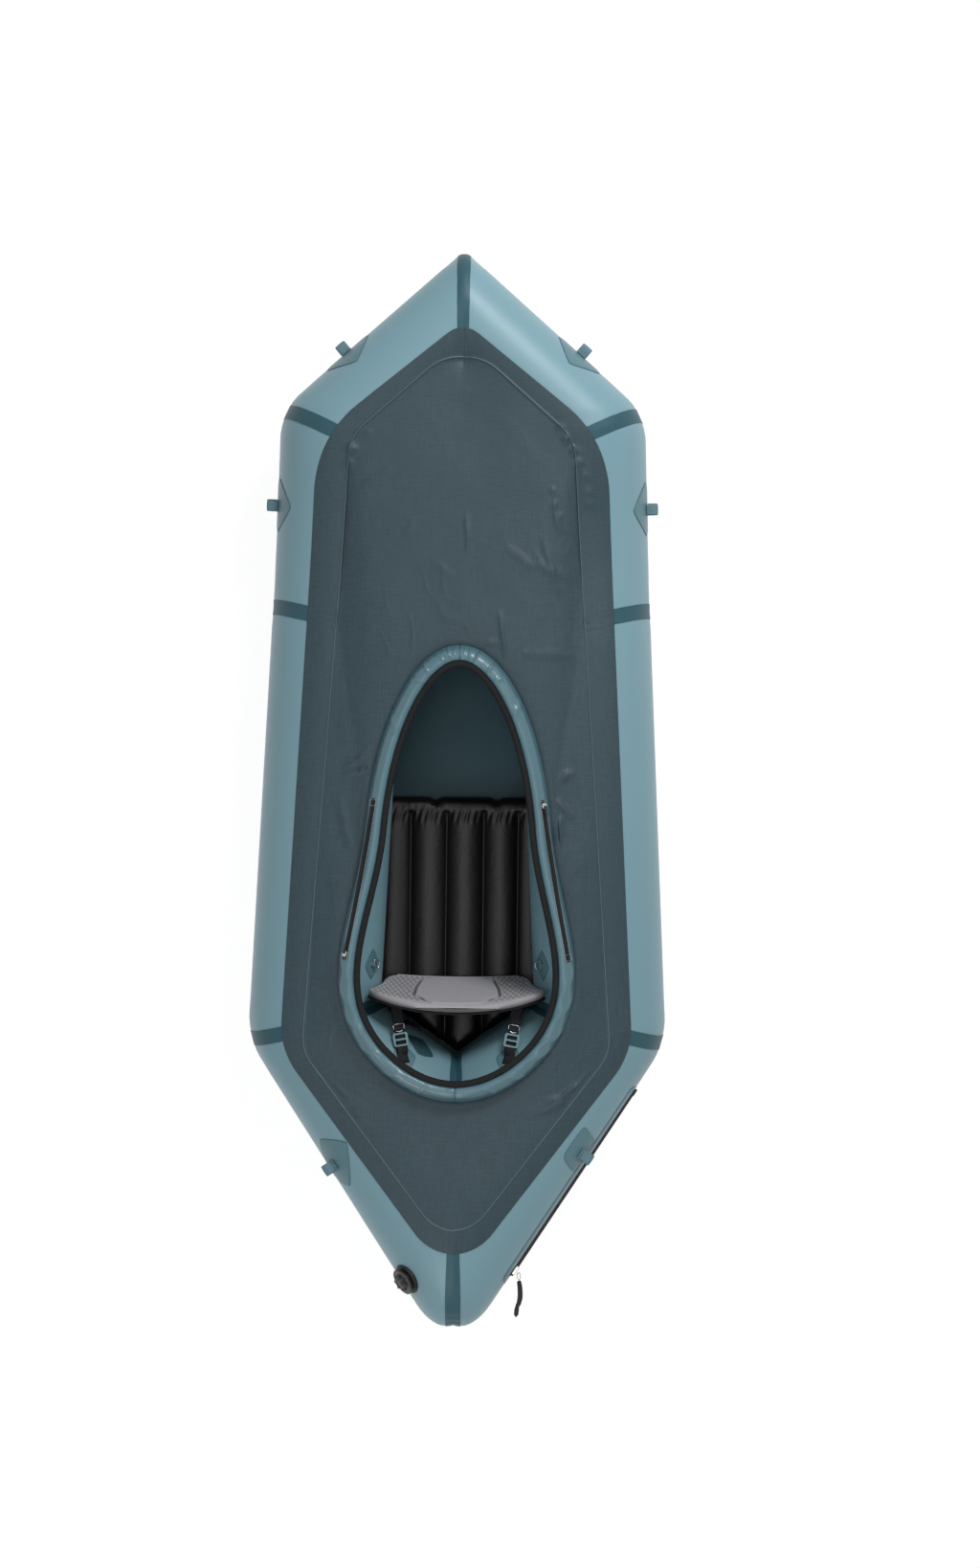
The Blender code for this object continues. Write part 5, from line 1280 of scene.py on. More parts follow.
def buildBinding():
    start = coaming["sleeveWidth"] + 0.0003
    top = coaming["sleeveHeight"] * 0.90
    wide, high = sleeve["bindingWidth"], sleeve["bindingHeight"]
    outline = [(start + wide * a, top + high * b) for a, b in sleeve["bindingProfile"]]
    rings = []
    for turn in ringTurns(sleeve["bindingTurns"]):
        wave = 0.0006 * noise.noise(Vector((math.cos(turn) * 12, math.sin(turn) * 12, 4)))
        overlap = 0.0012 * smoothStep((0.055 - abs(turn - math.pi + 0.02)) / 0.006)
        ring = []
        for inset, height in outline:
            raised = height + wave + overlap * (height > top - high * 0.3)
            ring.append(coamingPoint(turn, inset - overlap * 0.4, raised))
        rings.append(ring)
    mesh = loftMesh("cockpitBinding", rings, closed=True)
    binding = place("cockpitBinding", mesh, "blackTape", nodes=["cockpit_binding"], slot="black_fabric")


buildSleeve()
buildBinding()


stitch = {"half": 0.00035, "sides": 6, "dash": 0.7}


def stitches(name, line, ups, material, pitch, body="hull"):
    # short thread dashes that lie along a line, joined as one mesh
    half, sides = stitch["half"], stitch["sides"]
    points, faces = [], []
    lengths = runningLengths(line)

    def at(distance):
        k = max(i for i in range(len(line) - 1) if lengths[i] <= distance + 1e-9)
        share = (distance - lengths[k]) / (lengths[k + 1] - lengths[k])
        return line[k].lerp(line[k + 1], share), ups[k]

    for number in range(int(lengths[-1] / pitch)):
        start, up = at(pitch * number)
        end, _ = at(min(lengths[-1] - 1e-6, pitch * number + pitch * stitch["dash"]))
        along = (end - start).normalized()
        across = along.cross(up).normalized()
        near, far = start.lerp(end, 0.25), start.lerp(end, 0.75)
        for spot, high in ((start, 0.0), (near, 1.0), (far, 1.0), (end, 0.0)):
            for a, u in circle(half, sides):
                points.append(spot + across * a + up * (u + half * (high * 1.3 - 0.5)))
        base = number * 4 * sides
        faces += [tuple(base + v for v in face) for face in gridFaces(4, sides, closedColumns=True)]
        faces.append(tuple(base + k for k in range(sides)))
        faces.append(tuple(base + 3 * sides + k for k in range(sides)))
    return place(name, newMesh(name, points, faces), material, body)


def addTooth(points, faces, spot, ways, sizes, levels):
    # stacked squares: each level is a share of the height with a share of the plan size
    base = len(points)
    forward, across, up = ways
    long, wide, high = sizes
    for level, shrink in levels:
        for a, b in ((-1, -1), (1, -1), (1, 1), (-1, 1)):
            corner = forward * (a * long / 2 * shrink) + across * (b * wide / 2 * shrink)
            points.append(spot + corner + up * (level * high))
    top = base + 4 * (len(levels) - 1)
    faces += [(base + 3, base + 2, base + 1, base), (top, top + 1, top + 2, top + 3)]
    faces += [tuple(base + v for v in face) for face in gridFaces(len(levels), 4, closedColumns=True)]


sideZip = {
    "tapeHalf": 0.0055, "tapeHeight": 0.0018, "drop": 0.0024, "pitch": 0.0026,
    "tooth": (0.0012, 0.0018, 0.0009), "inset": 0.012, "bar": (0.0085, 0.0065),
    "steps": 40, "stitchPitch": 0.0034, "barPitch": 0.0030,
}


def nodePoints(name):
    return numpy.array([vertex.co for vertex in cadNodes[name].data.vertices], float)


def zipArc(hand):
    run, pull = joints["sleeve_zip_run_" + hand], joints["sleeve_pull_hinge_" + hand]
    centre, axis = Vector(run["pos_m"]), Vector(run["axis"]).normalized()
    hinge = Vector(pull["axis"]).normalized()
    slider = nodePoints("coaming_zip_slider_" + hand)
    spot = Vector(slider.mean(0))
    along = axis.cross(spot - centre).normalized()
    out = hinge.cross(along)
    if out.z < 0:
        out = -out
    out = (out - along * out.dot(along)).normalized()
    base = min(Vector(p).dot(out) for p in slider)
    spot += out * (base - spot.dot(out) - 0.0003)
    return centre, axis, spot, along, out, [math.radians(value) for value in run["range_deg"]]


def buildSideZip(hand):
    centre, axis, spot, along, out, limits = zipArc(hand)
    radius = (spot - centre).length
    extra = sideZip["inset"] / radius
    low, high = limits[0] - extra, limits[1] + extra
    steps = sideZip["steps"]
    path, ups = [], []
    for k in range(steps + 1):
        turn = Matrix.Rotation(low + (high - low) * k / steps, 3, axis)
        path.append(centre + turn @ (spot - centre))
        ups.append(turn @ out)
    half, tall = sideZip["tapeHalf"], sideZip["tapeHeight"]
    drop = sideZip["drop"]
    outline = [
        (-half, -tall - drop), (half, -tall - drop), (half, -tall * 0.7), (half * 0.3, -tall * 0.4),
        (-half * 0.3, -tall * 0.4), (-half, -tall * 0.7)
    ]
    mesh = loftMesh("sideZipTape", sweep(path, outline, ups))
    place(
        "sideZipTape" + hand.title(), mesh, "blackTape", nodes=["coaming_zip_" + hand],
        slot="black_plastic",
    )
    points, faces = [], []
    arc = radius * (high - low)
    for number in range(int(arc / sideZip["pitch"])):
        for way in (-1, 1):
            angle = low + (number + 0.5 + 0.25 * way) * sideZip["pitch"] / radius
            turn = Matrix.Rotation(angle, 3, axis)
            origin, forward, up = centre + turn @ (spot - centre), turn @ along, turn @ out
            across = forward.cross(up)
            middle = origin + across * (way * 0.0008) - up * (tall * 0.45)
            addTooth(points, faces, middle, (forward, across, up), sideZip["tooth"], ((0, 1), (1, 0.7)))
    place(
        "sideZipTeeth" + hand.title(), newMesh("sideZipTeeth", points, faces, smooth=False), "blackPlastic",
        slot="black_plastic"
    )
    for number, way in enumerate((-1, 1)):
        line = []
        for k, (point, up) in enumerate(zip(path, ups)):
            forward = (path[min(k + 1, steps)] - path[max(k - 1, 0)]).normalized()
            line.append(point + forward.cross(up) * (way * (half + 0.0016)) - up * (tall + 0.0008))
        stitches(f"sideZipStitch{number}{hand.title()}", line, ups, "thread", sideZip["stitchPitch"])
    for number, k in enumerate((1, steps - 1)):
        forward = (path[k + 1] - path[k - 1]).normalized()
        across = forward.cross(ups[k])
        corners = ((-1, -1), (1, -1), (1, 1), (-1, 1), (-1, -1))
        wide, long = sideZip["bar"]
        bar = [path[k] + across * (a * wide) + forward * (b * long) for a, b in corners]
        bar = [corner - ups[k] * (tall * 0.5) for corner in bar]
        stitches(f"sideZipBar{number}{hand.title()}", bar, [ups[k]] * 5, "thread", sideZip["barPitch"])


for hand in ("left", "right"):
    buildSideZip(hand)
print("coaming made")


# Seat mat: welded channels, blown up as cloth

mat = {
    "front": -0.0136, "rear": -0.6048, "height": 0.067, "tuck": 0.034, "slope": 0.70, "bottom": 0.0024,
    "seams": (-0.1126, -0.030, 0.0555, 0.1349), "notches": (-0.057, 0.085), "crossTube": 0.034,
    "grid": (84, 100), "margin": 0.002, "voxel": 0.0055, "frames": 20, "cap": 0.010,
    "cloth": {
        "quality": 5, "mass": 0.2, "tension_stiffness": 12, "compression_stiffness": 12,
        "shear_stiffness": 4, "bending_stiffness": 0.2, "use_pressure": True, "uniform_pressure_force": 4.0,
    },
}


def innerWall(y):
    share = (innerLine[1].y - y) / (innerLine[1].y - innerLine[2].y)
    return innerLine[1].x + (innerLine[2].x - innerLine[1].x) * share


def matHalfWidth(y):
    wall = innerWall(min(max(y, innerLine[2].y), innerLine[1].y))
    return wall + mat["tuck"]


def seamPull(x, y):
    # metres from the nearest weld; the tube across the front is only pinched at its two notches
    behind = mat["front"] - y
    nearest = min(abs(x - line) for line in mat["seams"])
    if behind < mat["crossTube"]:
        nearest = min([abs(x - notch) * 1.5 + behind * 1.2 for notch in mat["notches"]] + [0.05])
        nearest = max(nearest, 0.0)
    return nearest


def matProfile(x, y):
    # half height of the blown mat at a plan point
    wide = matHalfWidth(y)
    side = wide - abs(x)
    frontCurve = mat["front"] - 0.010 * min(1, max(bell(x - notch, 0.008) for notch in mat["notches"]))
    front = frontCurve - y
    rearLine = mat["rear"] + mat["slope"] * abs(x)
    rear = y - rearLine
    edge = min(side, front, rear)
    if edge <= 0:
        return 0.0
    full = mat["height"] / 2
    rounded = math.sqrt(max(0.0, 1 - (1 - min(1, edge / 0.030)) ** 2))
    channel = math.sqrt(max(0.0, 1 - (1 - min(1, seamPull(x, y) / 0.036)) ** 2))
    return full * rounded * (0.22 + 0.78 * channel)


def buildMat():
    columns, lengthSteps = mat["grid"]
    middle = (mat["front"] + mat["rear"]) / 2
    yFront = mat["front"] - 0.0015
    grid = []
    for i in range(lengthSteps + 1):
        row = []
        share = i / lengthSteps
        share = share - 0.10 * math.sin(2 * math.pi * share) / (2 * math.pi)
        for j in range(columns + 1):
            across = 2 * j / columns - 1
            across += 0.06 * math.sin(math.pi * across)
            x = (matHalfWidth(middle) - mat["margin"]) * across
            yRear = mat["rear"] + mat["slope"] * abs(x) + 0.0015
            y = yFront + (yRear - yFront) * share
            x = (matHalfWidth(y) - mat["margin"]) * across
            y -= 0.010 * max(bell(x - spot, 0.007) for spot in mat["notches"]) * bell(yFront - y, 0.012)
            row.append((x, y))
        grid.append(row)
    points = []
    for layer in (1, -1):
        for row in grid:
            for x, y in row:
                half = max(matProfile(x, y) * 0.90, 0.0012)
                mid = mat["bottom"] + rise(y) + mat["height"] / 2
                points.append(Vector((x, y, mid + layer * half)))
    rows, cols = len(grid), len(grid[0])
    faces = gridFaces(rows, cols)
    size = rows * cols
    faces += [tuple(size + v for v in reversed(face)) for face in gridFaces(rows, cols)]
    border = list(range(cols)) + [i * cols + cols - 1 for i in range(1, rows)]
    border += [(rows - 1) * cols + j for j in range(cols - 2, -1, -1)]
    border += [i * cols for i in range(rows - 2, 0, -1)]
    for k, v in enumerate(border):
        w = border[(k + 1) % len(border)]
        faces.append((v, w, size + w, size + v))
    mesh = newMesh("seatMat", points, faces, sharp=180)
    piece = place("seatMat", mesh, "matCloth", nodes=["seat_pad"], slot="mat_fabric")
    blowUp(piece)
    seatMatFinish(piece)


def blowUp(piece):
    work = piece.copy()
    work.data = piece.data.copy()
    work.name = "matCloth0"
    work.parent = None
    bpy.context.scene.collection.objects.link(work)
    remesh = work.modifiers.new("voxels", "REMESH")
    remesh.mode = "VOXEL"
    remesh.voxel_size = mat["voxel"]
    settle(work)
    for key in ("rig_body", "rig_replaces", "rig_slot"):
        if key in work:
            del work[key]
    rest = numpy.array([vertex.co for vertex in work.data.vertices], float)
    held = work.vertex_groups.new(name="welds")
    for vertex in work.data.vertices:
        x, y, _ = vertex.co
        if seamPull(x, y) < 0.0035 or min(matHalfWidth(y) - abs(x), mat["front"] - y) < 0.004:
            held.add([vertex.index], 1.0, "REPLACE")
    cloth = work.modifiers.new("cloth", "CLOTH")
    for label, value in mat["cloth"].items():
        setattr(cloth.settings, label, value)
    cloth.settings.vertex_group_mass = held.name
    cloth.settings.effector_weights.gravity = 0
    cloth.collision_settings.use_collision = False
    cloth.collision_settings.use_self_collision = False
    scene = bpy.context.scene
    for number in range(1, mat["frames"] + 1):
        scene.frame_set(number)
    settle(work)
    scene.frame_set(1)
    moved = numpy.array([vertex.co for vertex in work.data.vertices], float) - rest
    far = numpy.linalg.norm(moved, axis=1)
    scale = numpy.where(far > mat["cap"], mat["cap"] / numpy.maximum(far, 1e-9), 1.0)
    final = rest + moved * scale[:, None]
    work.data.vertices.foreach_set("co", final.astype(numpy.float32).ravel())
    work.data.update()
    mesh = work.data
    bpy.data.objects.remove(work, do_unlink=True)
    mesh.materials.clear()
    mesh.materials.append(materials["matCloth"])
    piece.data = mesh


def seatMatFinish(piece):
    # smooth, then keep it within its space and off the floor
    smooth = piece.modifiers.new("smooth", "SMOOTH")
    smooth.factor = 0.5
    smooth.iterations = 3
    fine = piece.modifiers.new("fine", "SUBSURF")
    fine.levels = 1
    fine.render_levels = 1
    settle(piece)
    low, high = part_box("seat_pad")
    for vertex in piece.data.vertices:
        x, y, z = vertex.co
        floorTop = mat["bottom"] + rise(y)
        top = floorTop + mat["height"]
        pull = seamPull(x, y)
        crease = -0.0035 * bell(pull, 0.0035)
        middle = floorTop + mat["height"] / 2
        gather = 0.0011 * math.sin(x * 420 + 2 * math.sin(y * 60))
        gather *= bell(mat["front"] - y - mat["crossTube"] - 0.012, 0.016)
        if z > middle:
            z += crease + gather + 0.0007 * noise.noise(Vector((x * 26, y * 9, 5)))
        z = min(max(z, floorTop + 0.0004), top + 0.002)
        vertex.co = (min(max(x, low.x), high.x), min(max(y, low.y), high.y), z)
    piece.data.shade_smooth()
    piece.data.update()


buildMat()
print("seat mat made")


# Backrest: moulded foam with a raised middle panel and quilted wings, with painted shade in its grooves and
# on its rear face

backrest = {
    "axis": joints["backrest_fold"]["pos_m"], "height": 0.225, "lean": math.radians(10), "thickness": 0.017,
    "wrap": 0.030, "solidWrap": 0.020, "footWrap": 0.30, "footRadius": 0.009,
    "halfWidth": 0.197, "gap": 0.0003, "backing": 0.004, "backingFlat": (0.40, 0.228), "backingShare": 0.83,
    "shares": (
        (0.0, 0.72), (0.10, 0.80), (0.22, 0.84), (0.38, 0.86), (0.55, 0.90), (0.70, 0.95), (0.80, 0.985),
        (0.88, 0.93), (0.95, 0.74), (1.0, 0.45)
    ),
    "panel": 0.50, "relief": 0.0034, "groove": 0.0040, "grooveDepth": 0.0060, "quilt": (0.0125, 0.040),
    "quiltDepth": 0.0034, "rearShade": 0.85, "grid": (280, 170), "backingGrid": (44, 40),
}


def backrestPoint(up, across, depth, sink=0.0):
    # a point of the backrest: shares of its height and half width, distance behind its face
    lean = backrest["lean"]
    shares = backrest["shares"]
    wide = shares[0][1]
    for k in range(len(shares) - 1):
        if shares[k][0] <= up <= shares[k + 1][0]:
            s = (up - shares[k][0]) / (shares[k + 1][0] - shares[k][0])
            before, after = shares[max(k - 1, 0)][1], shares[min(k + 2, len(shares) - 1)][1]
            wide = spline(before, shares[k][1], shares[k + 1][1], after, s)
    spread = (wide * across) ** 2
    wide = wide * backrest["halfWidth"] - sink
    footShare = backrest["footWrap"]
    tilt, plumb = math.sin(lean), math.cos(lean)
    forward = backrest["wrap"] * (footShare + (1 - footShare) * up) * spread
    forward -= 0.25 * backrest["solidWrap"] * up
    localZ = up * (backrest["height"] - sink)
    localY = forward + backrest["footRadius"] - depth
    _, y0, z0 = backrest["axis"]
    y = y0 + localY * plumb - localZ * tilt
    return Vector((wide * across, y, z0 + localY * tilt + localZ * plumb))


def backrestRelief(up, across, x, z):
    # raised middle panel that is narrower at its foot and its top, grooves round it, quilted wings
    if up <= 0.03 or up >= 0.99:
        return 0.0
    outline = backrest["panel"] - 0.09 * smoothStep((0.16 - up) / 0.05)
    outline -= 0.10 * smoothStep((up - 0.74) / 0.10)
    outline += 0.035 * bell(up - 0.45, 0.22)
    away = (abs(across) - outline) * backrest["halfWidth"]
    border = min(up, (0.975 - up) * 1.6) * backrest["height"]
    edge = smoothStep((min(border, (1 - abs(across)) * backrest["halfWidth"] * 0.8) - 0.006) / 0.004)
    groove = -backrest["grooveDepth"] * bell(away, backrest["groove"])
    if away < 0:
        return edge * (backrest["relief"] * smoothStep(-away / 0.005) + groove)
    wide, high = backrest["quilt"]
    u, v = x / wide + z / high, x / wide - z / high
    line = min(abs(u - round(u)), abs(v - round(v)))
    quilt = -backrest["quiltDepth"] * bell(line, 0.16)
    return edge * (groove + quilt * smoothStep((away - 0.006) / 0.003) + backrest["relief"] * 0.6)


def buildBackrest():
    columns, levels = backrest["grid"]
    foot = -0.93 * backrest["footRadius"] / backrest["height"]
    ups = [foot * (1 - k / 4) for k in range(4)] + [k / levels for k in range(levels + 1)]
    rings, paintedShadeShares = [], []
    for up in ups:
        face, rear = [], []
        narrow = 0.33 * backrest["thickness"] * roundOff(up / foot)
        topRound = 0.45 * backrest["thickness"] * roundOff((up - 0.95) / 0.05)
        for k in range(columns + 1):
            across = 2 * k / columns - 1
            flat = backrestPoint(max(up, 0), across, 0)
            raised = backrestRelief(up, across, flat.x, flat.z)
            # painted shade: 1 where the face sinks into a groove, 0 on raised parts
            paintedShadeShares.append(smoothStep((0.0016 - raised) / 0.004) if 0.04 < up < 0.90 else 0.0)
            rim = (1 - abs(across)) * backrest["halfWidth"]
            sideRound = 0.006 * roundOff(1 - rim / 0.008)
            face.append(backrestPoint(up, across, -raised + narrow + topRound + sideRound))
            back = backrest["thickness"] - narrow - topRound * 0.3 - sideRound * 0.5
            rear.append(backrestPoint(up, across, back))
        rings.append(face + rear[::-1])
        # painted shade: the whole rear face is darkened by this share
        paintedShadeShares += [backrest["rearShade"]] * (columns + 1)
    mesh = loftMesh("backrestFoam", rings, sharp=70)
    paintedShade = mesh.attributes.new("paintedShade", "FLOAT", "POINT")
    for spot, value in enumerate(paintedShadeShares):
        paintedShade.data[spot].value = value
    foam = place("backrestFoam", mesh, "foamCover", "backrest", nodes=["backrest_foam"], slot="grey_foam")
    start = backrest["thickness"] + backrest["gap"]
    rings = []
    columns, levels = backrest["backingGrid"]
    for k in range(levels + 1):
        up = k / levels
        end = start + backrest["backing"] * (0.7 + 0.3 * math.sin(math.pi * up))
        face, rear = [], []
        for j in range(columns + 1):
            across = 2 * j / columns - 1
            ripple = 0.0008 * noise.noise(Vector((across * 9, up * 9, 2)))
            face.append(backrestPoint(up, across, start, -0.003))
            rear.append(backrestPoint(up, across, end + ripple, -0.003))
        rings.append(face + rear[::-1])
    mesh = loftMesh("backrestBacking", rings, sharp=70)
    backing = place(
        "backrestBacking", mesh, "blackTape", "backrest", nodes=["backrest_backing"], slot="black_fabric",
    )


buildBackrest()
print("backrest made")


# Patches and webbing loops on the tubes

patches = {
    "thickness": 0.0006, "lift": 0.0006, "rings": (0.0, 0.3, 0.55, 0.75, 0.9, 0.97, 1.0), "turns": 56,
    "diamond": (0.060, 0.066), "oblong": (0.042, 0.034), "oblongAt": 6,
}
# each loop: its run, side, share of the run, and the angles of the loop and of its patch
tieDowns = {
    1: ("bow", -1, 0.640, 9, 20), 2: ("bow", 1, 0.640, 9, 20),
    3: ("side", -1, 0.147, 9, 16), 4: ("side", 1, 0.147, 9, 16),
    5: ("stern", -1, 0.410, 27, 34), 6: ("stern", 1, 0.372, 31.5, 39.5),
}


def roundedOutline(turn, halfLong, halfGirth, power):
    # distance from the middle to the edge of a patch with rounded corners
    c, s = abs(math.cos(turn)) / halfLong, abs(math.sin(turn)) / halfGirth
    return 1 / (c ** power + s ** power) ** (1 / power)


def diamondOutline(turn, halfLong, halfGirth):
    return roundedOutline(turn, halfLong, halfGirth, 1.22)


def oblongOutline(turn, halfLong, halfGirth):
    return roundedOutline(turn, halfLong, halfGirth, 7)


def patchPiece(name, run, t, angle, halves, outline, side, nodes, film="patchFilm", slot="hull_fabric"):
    # a patch laid on the tube, with a darker rim
    halfLong, halfGirth = halves
    lift = patches["lift"]
    points = [onTube(run, t, angle, 0, 0, lift)]
    for ring in patches["rings"][1:]:
        for k in range(patches["turns"]):
            turn = 2 * math.pi * k / patches["turns"]
            reach = outline(turn, halfLong, halfGirth) * ring
            points.append(onTube(run, t, angle, reach * math.cos(turn), reach * math.sin(turn), lift))
    count = patches["turns"]
    faces = [(0, 1 + k, 1 + (k + 1) % count) for k in range(count)]
    for ring in range(len(patches["rings"]) - 2):
        base = 1 + ring * count
        faces += [
            (base + k, base + count + k, base + count + (k + 1) % count, base + (k + 1) % count)
            for k in range(count)
        ]
    mesh = faceUp(newMesh(name, handed(points, side), faces), outOfTube)
    piece = place(name, mesh, film, nodes=nodes, slot=slot)
    mesh.materials.append(materials["patchRim"])
    built = bmesh.new()
    built.from_mesh(mesh)
    total = sum(face.calc_area() for face in built.faces)
    for face in list(built.faces)[-count:]:
        face.material_index = 1
    built.to_mesh(mesh)
    built.free()
    thicken(piece, patches["thickness"])
    return piece


def dPath(half, reach, steps=10):
    # a loop that stands up from the tube, in plane coordinates: along the tube's girth, outwards
    points = [Vector((half, 0.0016)), Vector((half, (reach - half) * 0.5))]
    turns = [math.pi * k / steps for k in range(steps + 1)]
    points += [Vector((half * math.cos(turn), reach - half + half * math.sin(turn))) for turn in turns]
    points += [Vector((-half, (reach - half) * 0.5)), Vector((-half, 0.0016))]
    return points


loops = {"width": 0.025, "thickness": 0.0016, "reach": 0.024, "half": 0.011, "foot": 0.008}


def loopPiece(number, run, t, angle, side):
    origin, along, girth, out = tubeFrame(run, t, angle, patches["lift"] + patches["thickness"] + 0.0003)
    half, reach = loops["half"] - loops["thickness"] / 2, loops["reach"] - loops["thickness"] / 2
    foot = loops["foot"]
    path = [Vector((half + foot, 0.0006)), Vector((half + foot * 0.4, 0.0008))] + dPath(half, reach)
    path += [Vector((-half - foot * 0.4, 0.0008)), Vector((-half - foot, 0.0006))]
    rows = []
    for k, spot in enumerate(path):
        row = []
        for j in range(7):
            w = j / 3 - 1
            curl = 0.0009 * (abs(w) ** 3) * (1 if 2 < k < len(path) - 3 else 0)
            spread = along * (w * loops["width"] / 2)
            row.append(origin + girth * spot.x * (1 - curl * 20) + out * (spot.y - curl) + spread)
        rows.append(handed(row, side))
    centre = handed([origin + out * reach * 0.4], side)[0]
    name, node = f"tieLoop{number}", f"tie_down_loop_{number}"
    mesh = sheetMesh(name, rows, lambda point: point - centre)
    piece = place(name, mesh, "tealWebbing", nodes=[node], slot="webbing")
    thicken(piece, loops["thickness"], offset=0.0)


def buildTieDowns():
    for number, (run, side, t, loopAngle, patchAngle) in tieDowns.items():
        outline, halves = diamondOutline, patches["diamond"]
        if number == patches["oblongAt"]:
            outline, halves = oblongOutline, patches["oblong"]
        angle = math.radians(patchAngle)
        patchPiece(f"tiePatch{number}", run, t, angle, halves, outline, side, [f"tie_down_patch_{number}"])
        loopPiece(number, run, t, math.radians(loopAngle), side)


buildTieDowns()


# Straps behind the backrest, their anchors, and the thigh rings' patches

straps = {
    "x": 0.13543, "height": 0.80, "width": 0.025, "thickness": 0.0016, "thin": 0.0014, "tailShare": 0.86,
    "sag": 0.0016, "ringShare": 0.34, "ringReach": 0.018, "wire": 0.0032, "lockLength": 0.030,
    "anchor": (0.11675, -0.59236), "anchorPatch": (0.027, 0.026),
    "thigh": (0.1896, -0.38822), "thighPatch": (0.034, 0.024), "keeperWidth": 0.011, "keeperReach": 0.0031,
    # the tail's way round the front ring: distance past it, height
    "turnUp": ((0.012, 0.0012), (0.0075, -0.0032), (0.0052, 0.0008), (0.0070, 0.0042), (0.013, 0.0056)),
}


def strapLine(side):
    # the straight line of a strap from the backrest to its anchor, and where the anchor is on the tube
    across = straps["x"] / backrest["halfWidth"]
    depth = backrest["thickness"] + backrest["gap"] + backrest["backing"]
    _, y0, z0 = backrest["axis"]
    lean, high = backrest["lean"], straps["height"]
    forward = backrest["solidWrap"] * high * (across * across - 0.25)
    alongFace = Vector((0, math.cos(lean), math.sin(lean)))
    reach = forward + backrest["footRadius"] - depth - 2.2 * straps["thickness"]
    start = Vector((0, y0, z0)) + alongFace * reach
    start += Vector((0, -math.sin(lean), math.cos(lean))) * (high * backrest["height"])
    run, t, angle = locate(*straps["anchor"])
    origin, _, _, out = tubeFrame(run, t, angle, 0.0017)
    end = origin + out * 0.0036
    start = Vector((straps["x"], start.y, start.z))
    start, end = handed((start, end), side)
    forward = (end - start).normalized()
    wide = forward.cross(Vector((0, 0, 1))).normalized()
    return start, end, forward, wide, wide.cross(forward).normalized(), run, t, angle


def ribbon(name, path, wides, sizes, material, body="hull", nodes=()):
    # webbing along a path; without a body of its own it is attached to none, and its transform is baked
    # into its mesh
    width, thickness = sizes
    rows = []
    for point, wide in zip(path, wides):
        rows.append([point + wide * (width / 2 * w) for w in (-1, -0.6, -0.2, 0.2, 0.6, 1)])
    piece = place(name, sheetMesh(name, rows, skyward), material, body, nodes=nodes, slot="webbing")
    thicken(piece, thickness, offset=0.0)
    if not body:
        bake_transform(piece)


def buildBackStrap(hand, line, ringAt):
    start, _, forward, wide, up = line[:5]
    across = straps["x"] / backrest["halfWidth"]
    behind = backrest["thickness"] + backrest["gap"] + backrest["backing"] + 0.0012
    sewn = backrestPoint(straps["height"], across, behind)
    sewn = Vector((start.x, sewn.y, sewn.z))
    path = []
    for k in range(13):
        share = k / 12
        sag = up * (straps["sag"] * math.sin(math.pi * share))
        path.append(sewn.lerp(start + forward * (ringAt - 0.0022), share) - sag)
    sizes = (straps["width"], straps["thickness"])
    ribbon(
        "backStrap" + hand.title(), path, [wide] * 13, sizes, "blackWebbing",
        None, [f"back_strap_{hand}"],
    )


def buildAnchor(hand, side, line, ringAt):
    # webbing through the rings and the ladder lock, folded back on itself, and its patch on the tube
    start, _, forward, wide, up, run, t, angle = line
    title = hand.title()
    lockStart = ringAt + straps["ringReach"] + straps["wire"] / 2 + 0.0003
    lockMiddle = lockStart + straps["lockLength"] / 2
    turnUp = [(ringAt + reach, high) for reach, high in straps["turnUp"]]
    turnUp += [(lockStart - 0.001, 0.0010), (lockStart + 0.003, -0.0031)]
    turnUp += [(lockMiddle, -0.0032), (lockMiddle + 0.010, -0.0032)]
    path = [start + forward * a + up * b for a, b in turnUp]
    sizes = (straps["width"] * straps["tailShare"], straps["thin"])
    ribbon(
        "strapTail" + title, path, [wide] * len(path), sizes, "blackWebbing",
    )
    patchPiece(
        "strapPatch" + title, run, t, angle, straps["anchorPatch"], oblongOutline, side,
        [f"strap_anchor_{hand}"],
        "patchFilm", "floor_fabric",
    )
    origin, _, _, out = tubeFrame(run, t, angle, 0.0018)
    origin, out = handed((origin, out), side)
    low = start + forward * (lockMiddle + straps["lockLength"] / 2 - 0.003)
    flat = (forward - out * forward.dot(out)).normalized()
    flatWide = flat.cross(out)
    path = [low - forward * 0.004, low, low.lerp(origin, 0.5) + out * 0.001]
    path += [origin - flat * 0.008, origin, origin + flat * 0.012]
    wides = [wide, wide, (wide + flatWide).normalized(), flatWide, flatWide, flatWide]
    sizes = (straps["width"], straps["thin"])
    ribbon("anchorTab" + title, path, wides, sizes, "blackWebbing")


def buildThighKeeper(hand, side):
    # the patch of a thigh ring, and the webbing that holds the ring down
    title, reach = hand.title(), straps["keeperReach"]
    run, t, angle = locate(*straps["thigh"])
    patchPiece(
        "thighPatch" + title, run, t, angle, straps["thighPatch"], diamondOutline, side,
        [f"thigh_patch_{hand}"],
        "patchFilm", "floor_fabric",
    )
    _, along, girth, out = handed(tubeFrame(run, t, angle, 0.0010), side)
    pin = Vector(joints[f"thigh_ring_hinge_{hand}"]["pos_m"])
    turns = [math.radians(-140 + 280 * k / 12) for k in range(13)]
    ring = [pin + girth * (reach * math.sin(turn)) + out * (reach * math.cos(turn)) for turn in turns]
    first = ring[0] + (ring[0] - pin).normalized() * 0.0002 - out * 0.0008 - girth * 0.004
    last = ring[-1] - out * 0.0008 + girth * 0.004
    path = [first] + ring + [last]
    sizes = (straps["keeperWidth"], 0.0010)
    ribbon(
        "thighKeeper" + title, path, [along] * len(path), sizes, "tealWebbing",
    )


